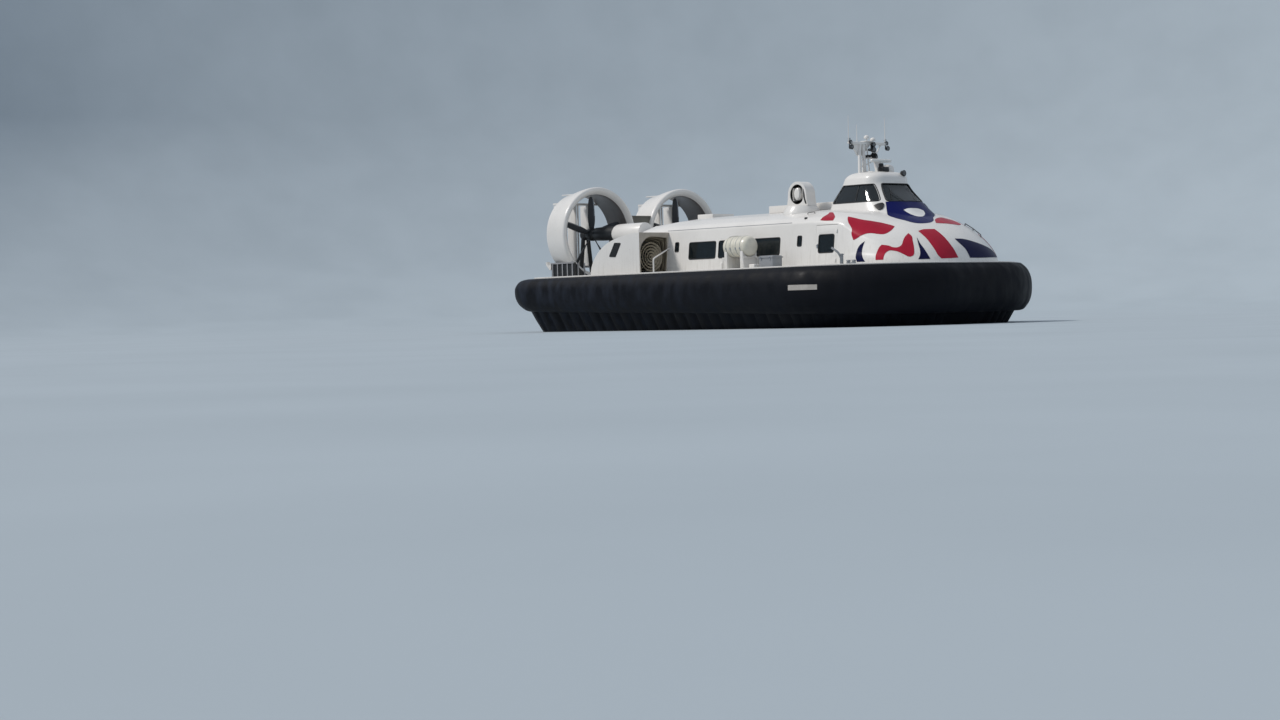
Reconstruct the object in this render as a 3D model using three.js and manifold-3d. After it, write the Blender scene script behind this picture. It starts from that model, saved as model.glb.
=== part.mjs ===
// Passenger hovercraft on its inflated skirt, with twin ducted propellers aft.
// Millimetres. +X points to the bow, +Y to port, +Z up. The skirt hem stands on z = 0.
import * as THREE from "three";
import { mergeVertices } from "three/addons/utils/BufferGeometryUtils.js";
import Module from "manifold-3d";

const wasm = await Module();
wasm.setup();

// Driving dimensions
const LENGTH = 23700;
const BEAM = 12800;
const GAP = 0.3; // between pieces that touch
const CLEAR = 5; // round a piece that moves
const RAFT_BOTTOM = 1150;
const MAIN_DECK = 2250;
const FORE_DECK = 2450;
const BOW_RADIUS = 5150;
const STERN_RADIUS = 2000;
const CABIN_AFT = -3300;
const CABIN_TOP = 5100;
const CABIN_HALF = 3650; // half width at the deck
const CABIN_WALL = 70;
const NOSE_JOINT = 7600;
const NOSE_TIP = 11200;
const WHEELHOUSE_WALL = 60;
const SIDE_BODY_Y = 5200; // outer face of the side bodies
const SIDE_BODY_AFT = -6500;
const SIDE_BODY_FORE = -3100;
const INTAKE_WALL_X = -3650;
const INTAKE_Y = 4430;
const INTAKE_Z = 3210;
const INTAKE_RADIUS = 740;
const DUCT_Y = 2600;
const DUCT_Z = 4450;
const DUCT_REAR = -10420;
const PROP_X = -9500;
const PROP_RADIUS = 1750;
const BLADES = 5;
const RUDDER_X = -10740;
const RUDDER_BOTTOM = 3050;
const RUDDER_TOP = 5850;
const THRUSTER_X = 3550;
const THRUSTER_Y = 1800;
const THRUSTER_Z = 5120;

const SIDES = [
  { name: "starboard", sign: -1 },
  { name: "port", sign: 1 },
];

// Materials: colour, roughness, metalness
const PAINTS = {
  white: [0xe9e7e1, 0.35, 0],
  rubber: [0x14161c, 0.7, 0],
  hull: [0x8d9296, 0.45, 0.8],
  dark: [0x24272b, 0.5, 0.3],
  grey: [0x8a8d92, 0.5, 0.2],
  glass: [0x1c2a30, 0.08, 0],
  seat: [0x27406b, 0.9, 0],
  engine: [0x4a4f52, 0.5, 0.6],
};
const materials = {};
for (const [name, [color, roughness, metalness]] of Object.entries(PAINTS)) {
  materials[name] = new THREE.MeshStandardMaterial({ name, color, roughness, metalness });
}

const part = new THREE.Group();
part.name = "hovercraft";

// Solids

function signedVolume(position, index) {
  const a = new THREE.Vector3();
  const b = new THREE.Vector3();
  const c = new THREE.Vector3();
  let sum = 0;
  for (let i = 0; i < index.length; i += 3) {
    a.fromBufferAttribute(position, index[i]);
    b.fromBufferAttribute(position, index[i + 1]);
    c.fromBufferAttribute(position, index[i + 2]);
    sum += a.dot(b.cross(c));
  }
  return sum / 6;
}

// A closed three.js geometry as a solid that faces outwards.
function solid(geometry) {
  const plain = geometry.clone();
  plain.deleteAttribute("normal");
  plain.deleteAttribute("uv");
  const merged = mergeVertices(plain, 1e-3);
  const triangles = new Uint32Array(merged.index.array);
  if (signedVolume(merged.attributes.position, triangles) < 0) {
    for (let i = 0; i < triangles.length; i += 3) {
      [triangles[i + 1], triangles[i + 2]] = [triangles[i + 2], triangles[i + 1]];
    }
  }
  const vertProperties = new Float32Array(merged.attributes.position.array);
  return new wasm.Manifold(new wasm.Mesh({ numProp: 3, vertProperties, triVerts: triangles }));
}

function add(name, body, paint) {
  const made = body.getMesh();
  const geometry = new THREE.BufferGeometry();
  const position = new Float32Array(made.numVert * 3);
  for (let i = 0; i < made.numVert; i++) {
    for (let k = 0; k < 3; k++) position[3 * i + k] = made.vertProperties[made.numProp * i + k];
  }
  geometry.setAttribute("position", new THREE.BufferAttribute(position, 3));
  geometry.setIndex(Array.from(made.triVerts));
  const mesh = new THREE.Mesh(geometry, materials[paint]);
  mesh.name = name;
  part.add(mesh);
}

function union(list) {
  return list.reduce((whole, next) => whole.add(next));
}

// A box from its lowest and highest corners.
function box([x0, y0, z0], [x1, y1, z1]) {
  const geometry = new THREE.BoxGeometry(x1 - x0, y1 - y0, z1 - z0);
  geometry.translate((x0 + x1) / 2, (y0 + y1) / 2, (z0 + z1) / 2);
  return solid(geometry);
}

// A round bar between two points, with a radius at each end.
function bar(from, to, radius, endRadius = radius, sides = 10) {
  const a = new THREE.Vector3(...from);
  const b = new THREE.Vector3(...to);
  const geometry = new THREE.CylinderGeometry(endRadius, radius, a.distanceTo(b), sides);
  const turn = new THREE.Quaternion().setFromUnitVectors(
    new THREE.Vector3(0, 1, 0),
    b.clone().sub(a).normalize(),
  );
  geometry.applyQuaternion(turn);
  const middle = a.add(b).multiplyScalar(0.5);
  geometry.translate(middle.x, middle.y, middle.z);
  return solid(geometry);
}

// A body turned about an axis that runs along x; the profile lists [x, radius] and closes on itself.
function turnedAlongX(profile, sides) {
  const points = [...profile, profile[0]].map(([x, r]) => new THREE.Vector2(r, x));
  const geometry = new THREE.LatheGeometry(points, sides);
  geometry.rotateZ(-Math.PI / 2);
  return solid(geometry);
}

// A flat outline [u, v] pushed along an axis: "x" reads [y, z], "y" reads [x, z], "z" reads [x, y].
function pushed(outline, axis, from, to) {
  const shape = new THREE.Shape(outline.map(([u, v]) => new THREE.Vector2(u, v)));
  const geometry = new THREE.ExtrudeGeometry(shape, { depth: to - from, bevelEnabled: false });
  geometry.translate(0, 0, from);
  const basis = new THREE.Matrix4();
  if (axis === "x") basis.set(0, 0, 1, 0, 1, 0, 0, 0, 0, 1, 0, 0, 0, 0, 0, 1);
  if (axis === "y") basis.set(1, 0, 0, 0, 0, 0, 1, 0, 0, 1, 0, 0, 0, 0, 0, 1);
  geometry.applyMatrix4(basis);
  return solid(geometry);
}

// A solid through a row of rings with equally many points; the ends are closed by fans, or the
// row closes on itself.
function lofted(rings, closed = false) {
  const count = rings[0].length;
  const position = rings.flat(2);
  const index = [];
  const rows = closed ? rings.length : rings.length - 1;
  for (let r = 0; r < rows; r++) {
    const next = (r + 1) % rings.length;
    for (let i = 0; i < count; i++) {
      const j = (i + 1) % count;
      const [a, b, c, d] = [r * count + i, r * count + j, next * count + j, next * count + i];
      index.push(a, b, c, a, c, d);
    }
  }
  if (!closed) {
    const last = (rings.length - 1) * count;
    for (let i = 1; i < count - 1; i++) {
      index.push(0, i + 1, i);
      index.push(last, last + i, last + i + 1);
    }
  }
  const geometry = new THREE.BufferGeometry();
  geometry.setAttribute("position", new THREE.BufferAttribute(new Float32Array(position), 3));
  geometry.setIndex(index);
  return solid(geometry);
}

// Reads a table of [key, value, value, ...] rows at a key between two rows.
function read(table, key) {
  let k = 0;
  while (k < table.length - 2 && key > table[k + 1][0]) k++;
  const [low, high] = [table[k], table[k + 1]];
  const share = Math.min(1, Math.max(0, (key - low[0]) / (high[0] - low[0])));
  return low.slice(1).map((value, i) => value + share * (high[i + 1] - value));
}

// Skirt, raft and fore deck

// Points round a plan outline with a rounded bow and stern, from the stern on the starboard side
// forward, round the bow and back along the port side. Steps tell how often each stretch is cut.
function planOutline({ fore, aft, half, bow, stern }, steps) {
  const points = [];
  const arc = (x, y, radius, from, count) => {
    for (let i = 0; i <= count; i++) {
      const angle = from + (i / count) * (Math.PI / 2);
      points.push([x + radius * Math.cos(angle), y + radius * Math.sin(angle)]);
    }
  };
  const straight = ([x0, y0], [x1, y1], count) => {
    for (let i = 1; i < count; i++) {
      points.push([x0 + ((x1 - x0) * i) / count, y0 + ((y1 - y0) * i) / count]);
    }
  };
  arc(aft + stern, -half + stern, stern, Math.PI, steps.stern);
  straight([aft + stern, -half], [fore - bow, -half], steps.side);
  arc(fore - bow, -half + bow, bow, -Math.PI / 2, steps.bow);
  straight([fore, -half + bow], [fore, half - bow], steps.front);
  arc(fore - bow, half - bow, bow, 0, steps.bow);
  straight([fore - bow, half], [aft + stern, half], steps.side);
  arc(aft + stern, half - stern, stern, Math.PI / 2, steps.stern);
  straight([aft, half - stern], [aft, -half + stern], steps.back);
  return points;
}

const OUTER_PLAN = {
  fore: LENGTH / 2,
  aft: -LENGTH / 2,
  half: BEAM / 2,
  bow: BOW_RADIUS,
  stern: STERN_RADIUS,
};
const RAFT_PLAN = { fore: 11250, aft: -10700, half: 5800, bow: 4600, stern: 1300 };
const BAG_STEPS = { stern: 5, side: 4, bow: 10, front: 1, back: 1 };

// The bag's section at the stern and at the bow: out is the share of the way from the raft's side
// (0) to the outer plan (1), z is the height.
const BAG_SECTION = [
  { out: 0.0, stern: 2300, bow: 2440 },
  { out: 0.35, stern: 2420, bow: 2430 },
  { out: 0.72, stern: 2330, bow: 2200 },
  { out: 0.95, stern: 2090, bow: 1850 },
  { out: 1.0, stern: 1830, bow: 1460 },
  { out: 0.93, stern: 1500, bow: 1060 },
  { out: 0.68, stern: 1180, bow: 720 },
  { out: 0.2, stern: 960, bow: 480 },
  { out: -0.9, stern: 960, bow: 620 },
  { out: -1.1, stern: RAFT_BOTTOM - GAP, bow: RAFT_BOTTOM - GAP },
  { out: 0.0, stern: RAFT_BOTTOM - GAP, bow: RAFT_BOTTOM - GAP },
];

function grown(plan, by) {
  return {
    fore: plan.fore + by,
    aft: plan.aft - by,
    half: plan.half + by,
    bow: plan.bow + by,
    stern: plan.stern + by,
  };
}

const outerPlan = planOutline(OUTER_PLAN, BAG_STEPS);
const raftPlan = planOutline(RAFT_PLAN, BAG_STEPS);
const seatPlan = planOutline(grown(RAFT_PLAN, GAP), BAG_STEPS);

const bagRings = outerPlan.map(([x, y], i) => {
  const [sx, sy] = seatPlan[i];
  const share = (x + LENGTH / 2) / LENGTH;
  return BAG_SECTION.map(({ out, stern, bow }) => [
    sx + out * (x - sx),
    sy + out * (y - sy),
    stern + share * (bow - stern),
  ]);
});
const skirtBag = lofted(bagRings, true);
add("skirt_bag", skirtBag, "rubber");

const RAFT_SKIDS = [-3400, 0, 3400];
const raft = pushed(raftPlan, "z", RAFT_BOTTOM, MAIN_DECK);
const skids = RAFT_SKIDS.map((y) => box([-8600, y - 170, 1010], [8200, y + 170, RAFT_BOTTOM + 10]));
add("raft", union([raft, ...skids]), "hull");

// The fingers hang below the bag; each one bulges between two seams.
const FINGER_STEPS = { stern: 6, side: 46, bow: 26, front: 2, back: 28 };
const FINGER_BULGE = 80;
const FINGER_ROOT = { fore: 11400, aft: -10850, half: 5950, bow: 4750, stern: 1300 };
const HEM_PLAN = { fore: 10750, aft: -10250, half: 5350, bow: 4150, stern: 800 };
const FINGER_TOP = RAFT_BOTTOM - 0.8;
const FINGER_DEPTH = 1300; // at the root, from the face to the back
const HEM_THICKNESS = 110;

function fingerRings() {
  const outlines = [FINGER_ROOT, HEM_PLAN].flatMap((plan) =>
    [0, FINGER_BULGE].map((bulge) => planOutline(grown(plan, bulge), FINGER_STEPS)),
  );
  const [root, rootBulged, hem, hemBulged] = outlines;
  const rootBack = planOutline(grown(FINGER_ROOT, -FINGER_DEPTH), FINGER_STEPS);
  const hemBack = planOutline(grown(HEM_PLAN, -HEM_THICKNESS), FINGER_STEPS);
  return root.map((_, i) => {
    const bulged = i % 2 === 1;
    return [
      [...(bulged ? rootBulged : root)[i], FINGER_TOP],
      [...rootBack[i], FINGER_TOP],
      [...hemBack[i], 0],
      [...(bulged ? hemBulged : hem)[i], 0],
    ];
  });
}

// The bag's section swollen a little about its middle, to cut a seat with a gap.
const BAG_SWELL = 1.0008;
const bagSeat = lofted(
  bagRings.map((ring) => {
    const middle = [0, 1, 2].map((k) => ring.reduce((sum, point) => sum + point[k], 0) / ring.length);
    return ring.map((point) => point.map((value, k) => middle[k] + BAG_SWELL * (value - middle[k])));
  }),
  true,
);
const fingers = lofted(fingerRings(), true).subtract(bagSeat);
add("skirt_fingers", fingers, "rubber");

// The fore deck stands on the raft from the handrails forward and carries the cabin.
const FORE_DECK_AFT = -1700;
const foreDeckPlan = raftPlan.filter(([x]) => x > FORE_DECK_AFT);
foreDeckPlan.unshift([FORE_DECK_AFT, -RAFT_PLAN.half]);
foreDeckPlan.push([FORE_DECK_AFT, RAFT_PLAN.half]);
const foreDeck = pushed(foreDeckPlan, "z", MAIN_DECK + GAP, FORE_DECK);
add("fore_deck", foreDeck, "white");

// Cabin and nose

// Half width and roof height of the upper body along the craft, and how round its section is
// (0: flat side and a crease under the roof, 1: elliptical).
const BODY_TABLE = [
  // x, roof, round
  [CABIN_AFT, CABIN_TOP, 0],
  [5600, CABIN_TOP, 0],
  [7300, 4960, 0],
  [8000, 4800, 0.3],
  [8800, 4510, 0.55],
  [9500, 4230, 0.75],
  [10100, 3910, 0.9],
  [10600, 3530, 1],
  [10950, 3110, 1],
  [11100, 2780, 1],
  [NOSE_TIP, 2500, 1],
];
const CURVE_FROM = 7300; // the plan is straight up to here
const NOSE_FULLNESS = 2.7; // 2 would be an ellipse

// Shares of the half width and of the height over the deck: creased, then elliptical.
const SECTION_TABLE = [
  { creased: [1, 0], round: [1, 0] },
  { creased: [0.987, 0.25], round: [0.97, 0.25] },
  { creased: [0.945, 0.73], round: [0.86, 0.51] },
  { creased: [0.88, 0.8], round: [0.7, 0.72] },
  { creased: [0.7, 0.88], round: [0.5, 0.87] },
  { creased: [0.4, 0.925], round: [0.25, 0.97] },
  { creased: [0.15, 0.955], round: [0.08, 1] },
];

function halfWidth(x) {
  if (x <= CURVE_FROM) return CABIN_HALF;
  const share = Math.min(1, (x - CURVE_FROM) / (NOSE_TIP + 60 - CURVE_FROM));
  return CABIN_HALF * (1 - share ** NOSE_FULLNESS) ** (1 / NOSE_FULLNESS);
}

// One section of the upper body at x, set in by the wall thickness.
function bodySection(x, wall) {
  const [roof, round] = read(BODY_TABLE, x);
  const half = halfWidth(x) - wall;
  const height = roof - wall - MAIN_DECK;
  const side = SECTION_TABLE.map(({ creased, round: oval }) => [
    half * (creased[0] + round * (oval[0] - creased[0])),
    MAIN_DECK + height * (creased[1] + round * (oval[1] - creased[1])),
  ]);
  const foot = [half, wall > 0 ? MAIN_DECK - 100 : MAIN_DECK + GAP];
  const starboard = [foot, ...side.slice(1)].map(([y, z]) => [x, -y, z]);
  const port = [foot, ...side.slice(1)].reverse().map(([y, z]) => [x, y, z]);
  return [...starboard, ...port];
}

const bodyStations = BODY_TABLE.map(([x]) => x);
const bodyOuter = lofted(bodyStations.map((x) => bodySection(x, 0)));
const innerStations = [CABIN_AFT + CABIN_WALL, ...bodyStations.slice(1, -1)];
const bodyInner = lofted(innerStations.map((x) => bodySection(x, CABIN_WALL)));

// Openings in the cabin's side walls: x range and z range.
const WINDOWS = [
  { from: -2620, to: -2390, low: 3400, high: 3800 },
  { from: -1690, to: 10, low: 3040, high: 3760 },
  { from: 210, to: 1910, low: 3040, high: 3760 },
  { from: 2270, to: 3970, low: 3040, high: 3760 },
  { from: 5010, to: 5250, low: 3360, high: 3770 },
];
const DOOR = { from: 6080, to: 7270, low: 2500, high: 4160 };
const DOOR_RISE = 12; // the door lifts as it swings about its leaning hinge
const DOOR_WINDOW = { from: 6250, to: 7110, low: 3040, high: 3770 };
const WINDOW_CORNER = 90;

function roundedOutline({ from, to, low, high }, radius, cuts = 3) {
  const points = [];
  const corners = [
    [to - radius, low + radius, -90],
    [to - radius, high - radius, 0],
    [from + radius, high - radius, 90],
    [from + radius, low + radius, 180],
  ];
  for (const [x, z, first] of corners) {
    for (let i = 0; i <= cuts; i++) {
      const angle = THREE.MathUtils.degToRad(first + (90 * i) / cuts);
      points.push([x + radius * Math.cos(angle), z + radius * Math.sin(angle)]);
    }
  }
  return points;
}

// A cutter through the wall on one side.
function throughSide(outline, sign) {
  const [near, far] = [CABIN_HALF - 500, CABIN_HALF + 100];
  return pushed(outline, "y", sign > 0 ? near : -far, sign > 0 ? far : -near);
}

const rect = ({ from, to, low, high }, by = 0) => [
  [from - by, low - by],
  [to + by, low - by],
  [to + by, high + by],
  [from - by, high + by],
];

// Wheelhouse: plan outline by height, with wide rounded corners in front.
const WHEELHOUSE_TABLE = [
  // z, aft, fore, half width, fore corner, aft corner
  [4000, 4550, 9550, 1820, 1780, 600],
  [4440, 4620, 8900, 1720, 1600, 600],
  [5080, 4780, 8090, 1510, 1260, 480],
  [5880, 5200, 7290, 1220, 740, 380],
  [6160, 5300, 7190, 1130, 580, 340],
  [6330, 5480, 7020, 960, 440, 300],
  [6400, 5700, 6760, 720, 350, 230],
];
const FORE_CUTS = 6; // pieces of each rounded corner in front
const AFT_CUTS = 2;

function wheelhouseRing(z, wall) {
  const [aft, fore, half, foreCorner, aftCorner] = read(WHEELHOUSE_TABLE, z);
  const [front, back] = [foreCorner - wall, aftCorner - wall];
  const corners = [
    { x: fore - foreCorner, y: foreCorner - half, radius: front, first: -90, cuts: FORE_CUTS },
    { x: fore - foreCorner, y: half - foreCorner, radius: front, first: 0, cuts: FORE_CUTS },
    { x: aft + aftCorner, y: half - aftCorner, radius: back, first: 90, cuts: AFT_CUTS },
    { x: aft + aftCorner, y: aftCorner - half, radius: back, first: 180, cuts: AFT_CUTS },
  ];
  const points = [];
  for (const { x, y, radius, first, cuts } of corners) {
    for (let i = 0; i <= cuts; i++) {
      const angle = THREE.MathUtils.degToRad(first + (90 * i) / cuts);
      points.push([x + radius * Math.cos(angle), y + radius * Math.sin(angle), z]);
    }
  }
  return points;
}

// The wheelhouse's body between two heights, set in by a wall.
function wheelhouseBody(low, high, wall) {
  const levels = WHEELHOUSE_TABLE.map(([z]) => z).filter((z) => z > low && z < high);
  return lofted([low, ...levels, high].map((z) => wheelhouseRing(z, wall)));
}

// The underside: flat over the cabin, then down along the nose.
const WHEELHOUSE_FOOT = 4440;
const WHEELHOUSE_ROOF = 6400;
const UNDERSIDE = [
  [4000, WHEELHOUSE_FOOT], [7700, WHEELHOUSE_FOOT], [8900, 4150], [9700, 4000], [9700, 3900], [4000, 3900],
];
const undersideCut = pushed(UNDERSIDE, "y", -2500, 2500);
const wheelhouseOuter = wheelhouseBody(4000, WHEELHOUSE_ROOF, 0).subtract(undersideCut);
const wheelhouseSeat = wheelhouseBody(4000, WHEELHOUSE_ROOF, -GAP)
  .subtract(undersideCut.translate(0, 0, -GAP));

let upperBody = bodyOuter
  .subtract(bodyInner)
  .subtract(box([FORE_DECK_AFT - GAP, -BEAM / 2, 0], [LENGTH / 2, BEAM / 2, FORE_DECK + GAP]))
  .subtract(wheelhouseSeat);

// The door turns on two knuckles outside the wall, on a line that leans in with it.
const HINGE_X = 7272;
const HINGES = [
  { z: 2700, y: 3638.5, radius: 17.2 },
  { z: 3900, y: 3508.5, radius: 19.9 },
];
const HINGE_SLOPE = (HINGES[1].y - HINGES[0].y) / (HINGES[1].z - HINGES[0].z);
const KNUCKLE_HALF = 70;

function doorHinge({ z, y, radius }, sign) {
  const knuckleEnd = (dz) => [HINGE_X, sign * (y + dz * HINGE_SLOPE), z + dz];
  const [low, high] = [-KNUCKLE_HALF, KNUCKLE_HALF].map(knuckleEnd);
  const [inner, outer] = [y - 30, y + 8];
  const [y0, y1] = sign > 0 ? [inner, outer] : [-outer, -inner];
  return bar(low, high, radius, radius, 12).add(box([HINGE_X - 80, y0, z - 50], [HINGE_X - 5, y1, z + 50]));
}

const DOOR_SLAB = rect(DOOR);
for (const { name, sign } of SIDES) {
  const doorBlank = throughSide(DOOR_SLAB, sign).intersect(upperBody);
  const door = doorBlank.subtract(throughSide(roundedOutline(DOOR_WINDOW, WINDOW_CORNER), sign));
  add(`door_${name}`, union([door, ...HINGES.map((hinge) => doorHinge(hinge, sign))]), "white");
  const doorway = { ...DOOR, high: DOOR.high + DOOR_RISE };
  upperBody = upperBody.subtract(throughSide(rect(doorway, CLEAR), sign));
  for (const window of WINDOWS) {
    const corner = Math.min(WINDOW_CORNER, (window.to - window.from) / 4);
    upperBody = upperBody.subtract(throughSide(roundedOutline(window, corner, 2), sign));
  }
}
const aftOfJoint = box([CABIN_AFT - 100, -5000, 2000], [NOSE_JOINT, 5000, 7000]);
const foreOfJoint = box([NOSE_JOINT + GAP, -5000, 2000], [NOSE_TIP + 100, 5000, 7000]);
const cabin = upperBody.intersect(aftOfJoint);
const nose = upperBody.intersect(foreOfJoint);
add("cabin", cabin, "white");
add("nose", nose, "white");

// One strip of glass lies inside each side wall, behind its windows.
const GLASS = 8;
const glassStrip = { from: -2700, to: 5330, low: 2960, high: 3840 };
const innerFace = lofted([-3200, 5600].map((x) => bodySection(x, CABIN_WALL + GAP)));
const innerGlass = lofted([-3200, 5600].map((x) => bodySection(x, CABIN_WALL + GAP + GLASS)));
for (const { name, sign } of SIDES) {
  const glass = throughSide(rect(glassStrip), sign).intersect(innerFace).subtract(innerGlass);
  add(`cabin_glazing_${name}`, glass, "glass");
}

// Seats: benches of four on each side of the aisle, on two rails each.
const SEAT_ROWS = { first: -2500, pitch: 860, count: 10 };
const SEAT_SECTION = [
  [0, 300], [450, 300], [450, 420], [80, 400], [-60, 1080], [-130, 1070], [-10, 300],
];
const BENCH = { inner: 620, outer: 3350 };
const FLOOR = FORE_DECK + GAP;
const benches = SIDES.map(({ sign }) => {
  const [y0, y1] = sign > 0 ? [BENCH.inner, BENCH.outer] : [-BENCH.outer, -BENCH.inner];
  const pieces = [];
  const lastX = SEAT_ROWS.first + SEAT_ROWS.pitch * (SEAT_ROWS.count - 1);
  for (const y of [y0 + 500, y1 - 500]) {
    pieces.push(box([SEAT_ROWS.first, y - 40, FLOOR], [lastX + 450, y + 40, FLOOR + 310]));
  }
  for (let row = 0; row < SEAT_ROWS.count; row++) {
    const x = SEAT_ROWS.first + row * SEAT_ROWS.pitch;
    const section = SEAT_SECTION.map(([u, v]) => [x + u, FLOOR + v]);
    pieces.push(pushed(section, "y", y0, y1));
  }
  return union(pieces);
});
const AISLE_TIE = box([0, -BENCH.inner - 600, FLOOR], [80, BENCH.inner + 600, FLOOR + 60]);
add("cabin_seats", union([...benches, AISLE_TIE]), "seat");

// Wheelhouse shell, its windows, glazing and fit-out
const SIDE_LIGHT = [
  [5030, 5130], [7550, 5130], [7030, 5840], [5460, 5840],
];
const WINDSCREEN = [
  [-1050, 5110], [1050, 5110], [770, 5850], [-770, 5850],
];
const REAR_LIGHT = [
  [-900, 5230], [900, 5230], [760, 5800], [-760, 5800],
];
const FLOOR_PLATE = 60;
const wheelhouseInner = wheelhouseBody(WHEELHOUSE_FOOT + FLOOR_PLATE, WHEELHOUSE_ROOF - 60, WHEELHOUSE_WALL);
const wheelhouse = wheelhouseOuter
  .subtract(wheelhouseInner)
  .subtract(pushed(SIDE_LIGHT, "y", -2000, 2000))
  .subtract(pushed(WINDSCREEN, "x", 6900, 9000))
  .subtract(pushed(REAR_LIGHT, "x", 4800, 5900));
add("wheelhouse", wheelhouse, "white");

const glassOuter = wheelhouseBody(5040, 5930, WHEELHOUSE_WALL + GAP);
const glassInner = wheelhouseBody(5030, 5940, WHEELHOUSE_WALL + GAP + GLASS);
add("wheelhouse_glazing", glassOuter.subtract(glassInner), "glass");

const CAB_FLOOR = WHEELHOUSE_FOOT + FLOOR_PLATE + GAP;
const CONSOLE = [
  [7050, CAB_FLOOR], [8100, CAB_FLOOR], [8000, 4760], [7250, 5020], [7050, 4960],
];
const HELM_SEATS = [-560, 560];
const HELM_SEAT_SECTION = [
  [6250, 4800], [6760, 4800], [6760, 4900], [6360, 4880], [6270, 5560], [6170, 5550],
];
const fitOut = [
  box([5200, -1200, CAB_FLOOR], [7300, 1200, CAB_FLOOR + 40]),
  pushed(CONSOLE, "y", -900, 900),
];
for (const y of HELM_SEATS) {
  fitOut.push(pushed(HELM_SEAT_SECTION, "y", y - 250, y + 250));
  fitOut.push(bar([6480, y, CAB_FLOOR], [6480, y, 4820], 110, 70, 8));
}
add("wheelhouse_fit_out", union(fitOut), "dark");

// Engine casing between the side bodies, with the two drive fairings on its aft slope
const CASING_TABLE = [
  // x, roof, half width
  [-7100, 3450, 3350],
  [-6900, 3850, 3450],
  [-6400, 4330, 3560],
  [-5800, 4680, 3630],
  [-5000, 4960, CABIN_HALF],
  [CABIN_AFT - GAP, CABIN_TOP, CABIN_HALF],
];
const DRIVE_FAIRING = { aft: -7350, fore: -5600, y: 2650, z: 4400, radius: 440 };

function casingSection(x, by) {
  const [roof, half] = read(CASING_TABLE, x);
  const side = SECTION_TABLE.map(({ creased: [wide, high] }) => [
    (half + by) * wide,
    MAIN_DECK + (roof + by - MAIN_DECK) * high,
  ]);
  side[0][1] += by > 0 ? 0 : GAP;
  const starboard = side.map(([y, z]) => [x, -y, z]);
  const port = side.map(([y, z]) => [x, y, z]).reverse();
  return [...starboard, ...port];
}

const { aft: fairingAft, fore: fairingFore, y: fairingY, z: fairingZ, radius: fairingRadius } = DRIVE_FAIRING;
function driveFairing(y, by) {
  const cap = [];
  for (let i = 0; i <= 4; i++) {
    const angle = (i / 4) * (Math.PI / 2);
    const radius = fairingRadius + by;
    cap.push([fairingAft - radius * Math.cos(angle), radius * Math.sin(angle)]);
  }
  const profile = [...cap, [fairingFore, fairingRadius + by], [fairingFore, 0]];
  return turnedAlongX(profile, 16).translate(0, y, fairingZ);
}

const casingStations = CASING_TABLE.map(([x]) => x);
const ROOF_VENT = box([-4300, -650, 4600], [CABIN_AFT - GAP, 650, 5130]);
const casing = union([
  lofted(casingStations.map((x) => casingSection(x, 0))),
  ROOF_VENT,
  ...SIDES.map(({ sign }) => driveFairing(sign * fairingY, 0)),
]);
add("engine_casing", casing, "white");

// Side bodies: lift fan intake in front, engine behind it
const SIDE_PROFILE = [
  [SIDE_BODY_AFT, MAIN_DECK + GAP],
  [SIDE_BODY_FORE, MAIN_DECK + GAP],
  [SIDE_BODY_FORE, 4270],
  [-4000, 4190],
  [-4700, 4060],
  [-5300, 3870],
  [-5800, 3590],
  [-6180, 3230],
  [-6400, 2880],
  [-6490, 2550],
];
const SIDE_CAVITY = [
  [-6380, MAIN_DECK - 50],
  [INTAKE_WALL_X - 60, MAIN_DECK - 50],
  [INTAKE_WALL_X - 60, 4130],
  [-4000, 4110],
  [-4700, 3980],
  [-5300, 3780],
  [-5760, 3500],
  [-6120, 3160],
  [-6320, 2840],
];
const SIDE_PORCH = { aft: INTAKE_WALL_X, ceiling: 4140, corner: 700 };
const SIDE_WALL = 60;
const GUARD_RINGS = [250, 480, 710];
const GUARD_BAR = 26;

const onSide = (sign, low, high) => (sign > 0 ? [low, high] : [-high, -low]);
const inboardSeat = union([
  lofted(bodyStations.map((x) => bodySection(x, -GAP))),
  lofted(casingStations.map((x) => casingSection(x, GAP))),
  box([CABIN_AFT - 10, -CABIN_HALF + 200, MAIN_DECK], [CABIN_AFT + 10, CABIN_HALF - 200, 4200]),
]);

function intakeGuard(y) {
  const rings = GUARD_RINGS.map((radius) =>
    turnedAlongX(
      [
        [INTAKE_WALL_X - GUARD_BAR, radius - GUARD_BAR],
        [INTAKE_WALL_X, radius - GUARD_BAR],
        [INTAKE_WALL_X, radius],
        [INTAKE_WALL_X - GUARD_BAR, radius],
      ],
      20,
    ),
  );
  const [x0, x1, reach, half] = [INTAKE_WALL_X - 20, INTAKE_WALL_X - 6, INTAKE_RADIUS + 15, 14];
  const spokes = [
    box([x0, -reach, -half], [x1, reach, half]),
    box([x0, -half, -reach], [x1, half, reach]),
  ];
  return union([...rings, ...spokes]).translate(0, y, INTAKE_Z);
}

// The recess in front of the intake, as y and z: its upper corner on the outer side is round.
function porchOutline(sign) {
  const { ceiling, corner } = SIDE_PORCH;
  const outer = SIDE_BODY_Y - SIDE_WALL;
  const points = [[3000, 2000], [outer, 2000]];
  for (let i = 0; i <= 5; i++) {
    const angle = (i / 5) * (Math.PI / 2);
    points.push([outer - corner * (1 - Math.cos(angle)), ceiling - corner * (1 - Math.sin(angle))]);
  }
  points.push([3000, ceiling]);
  const placed = points.map(([y, z]) => [sign * y, z]);
  return sign > 0 ? placed : placed.reverse();
}

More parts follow.
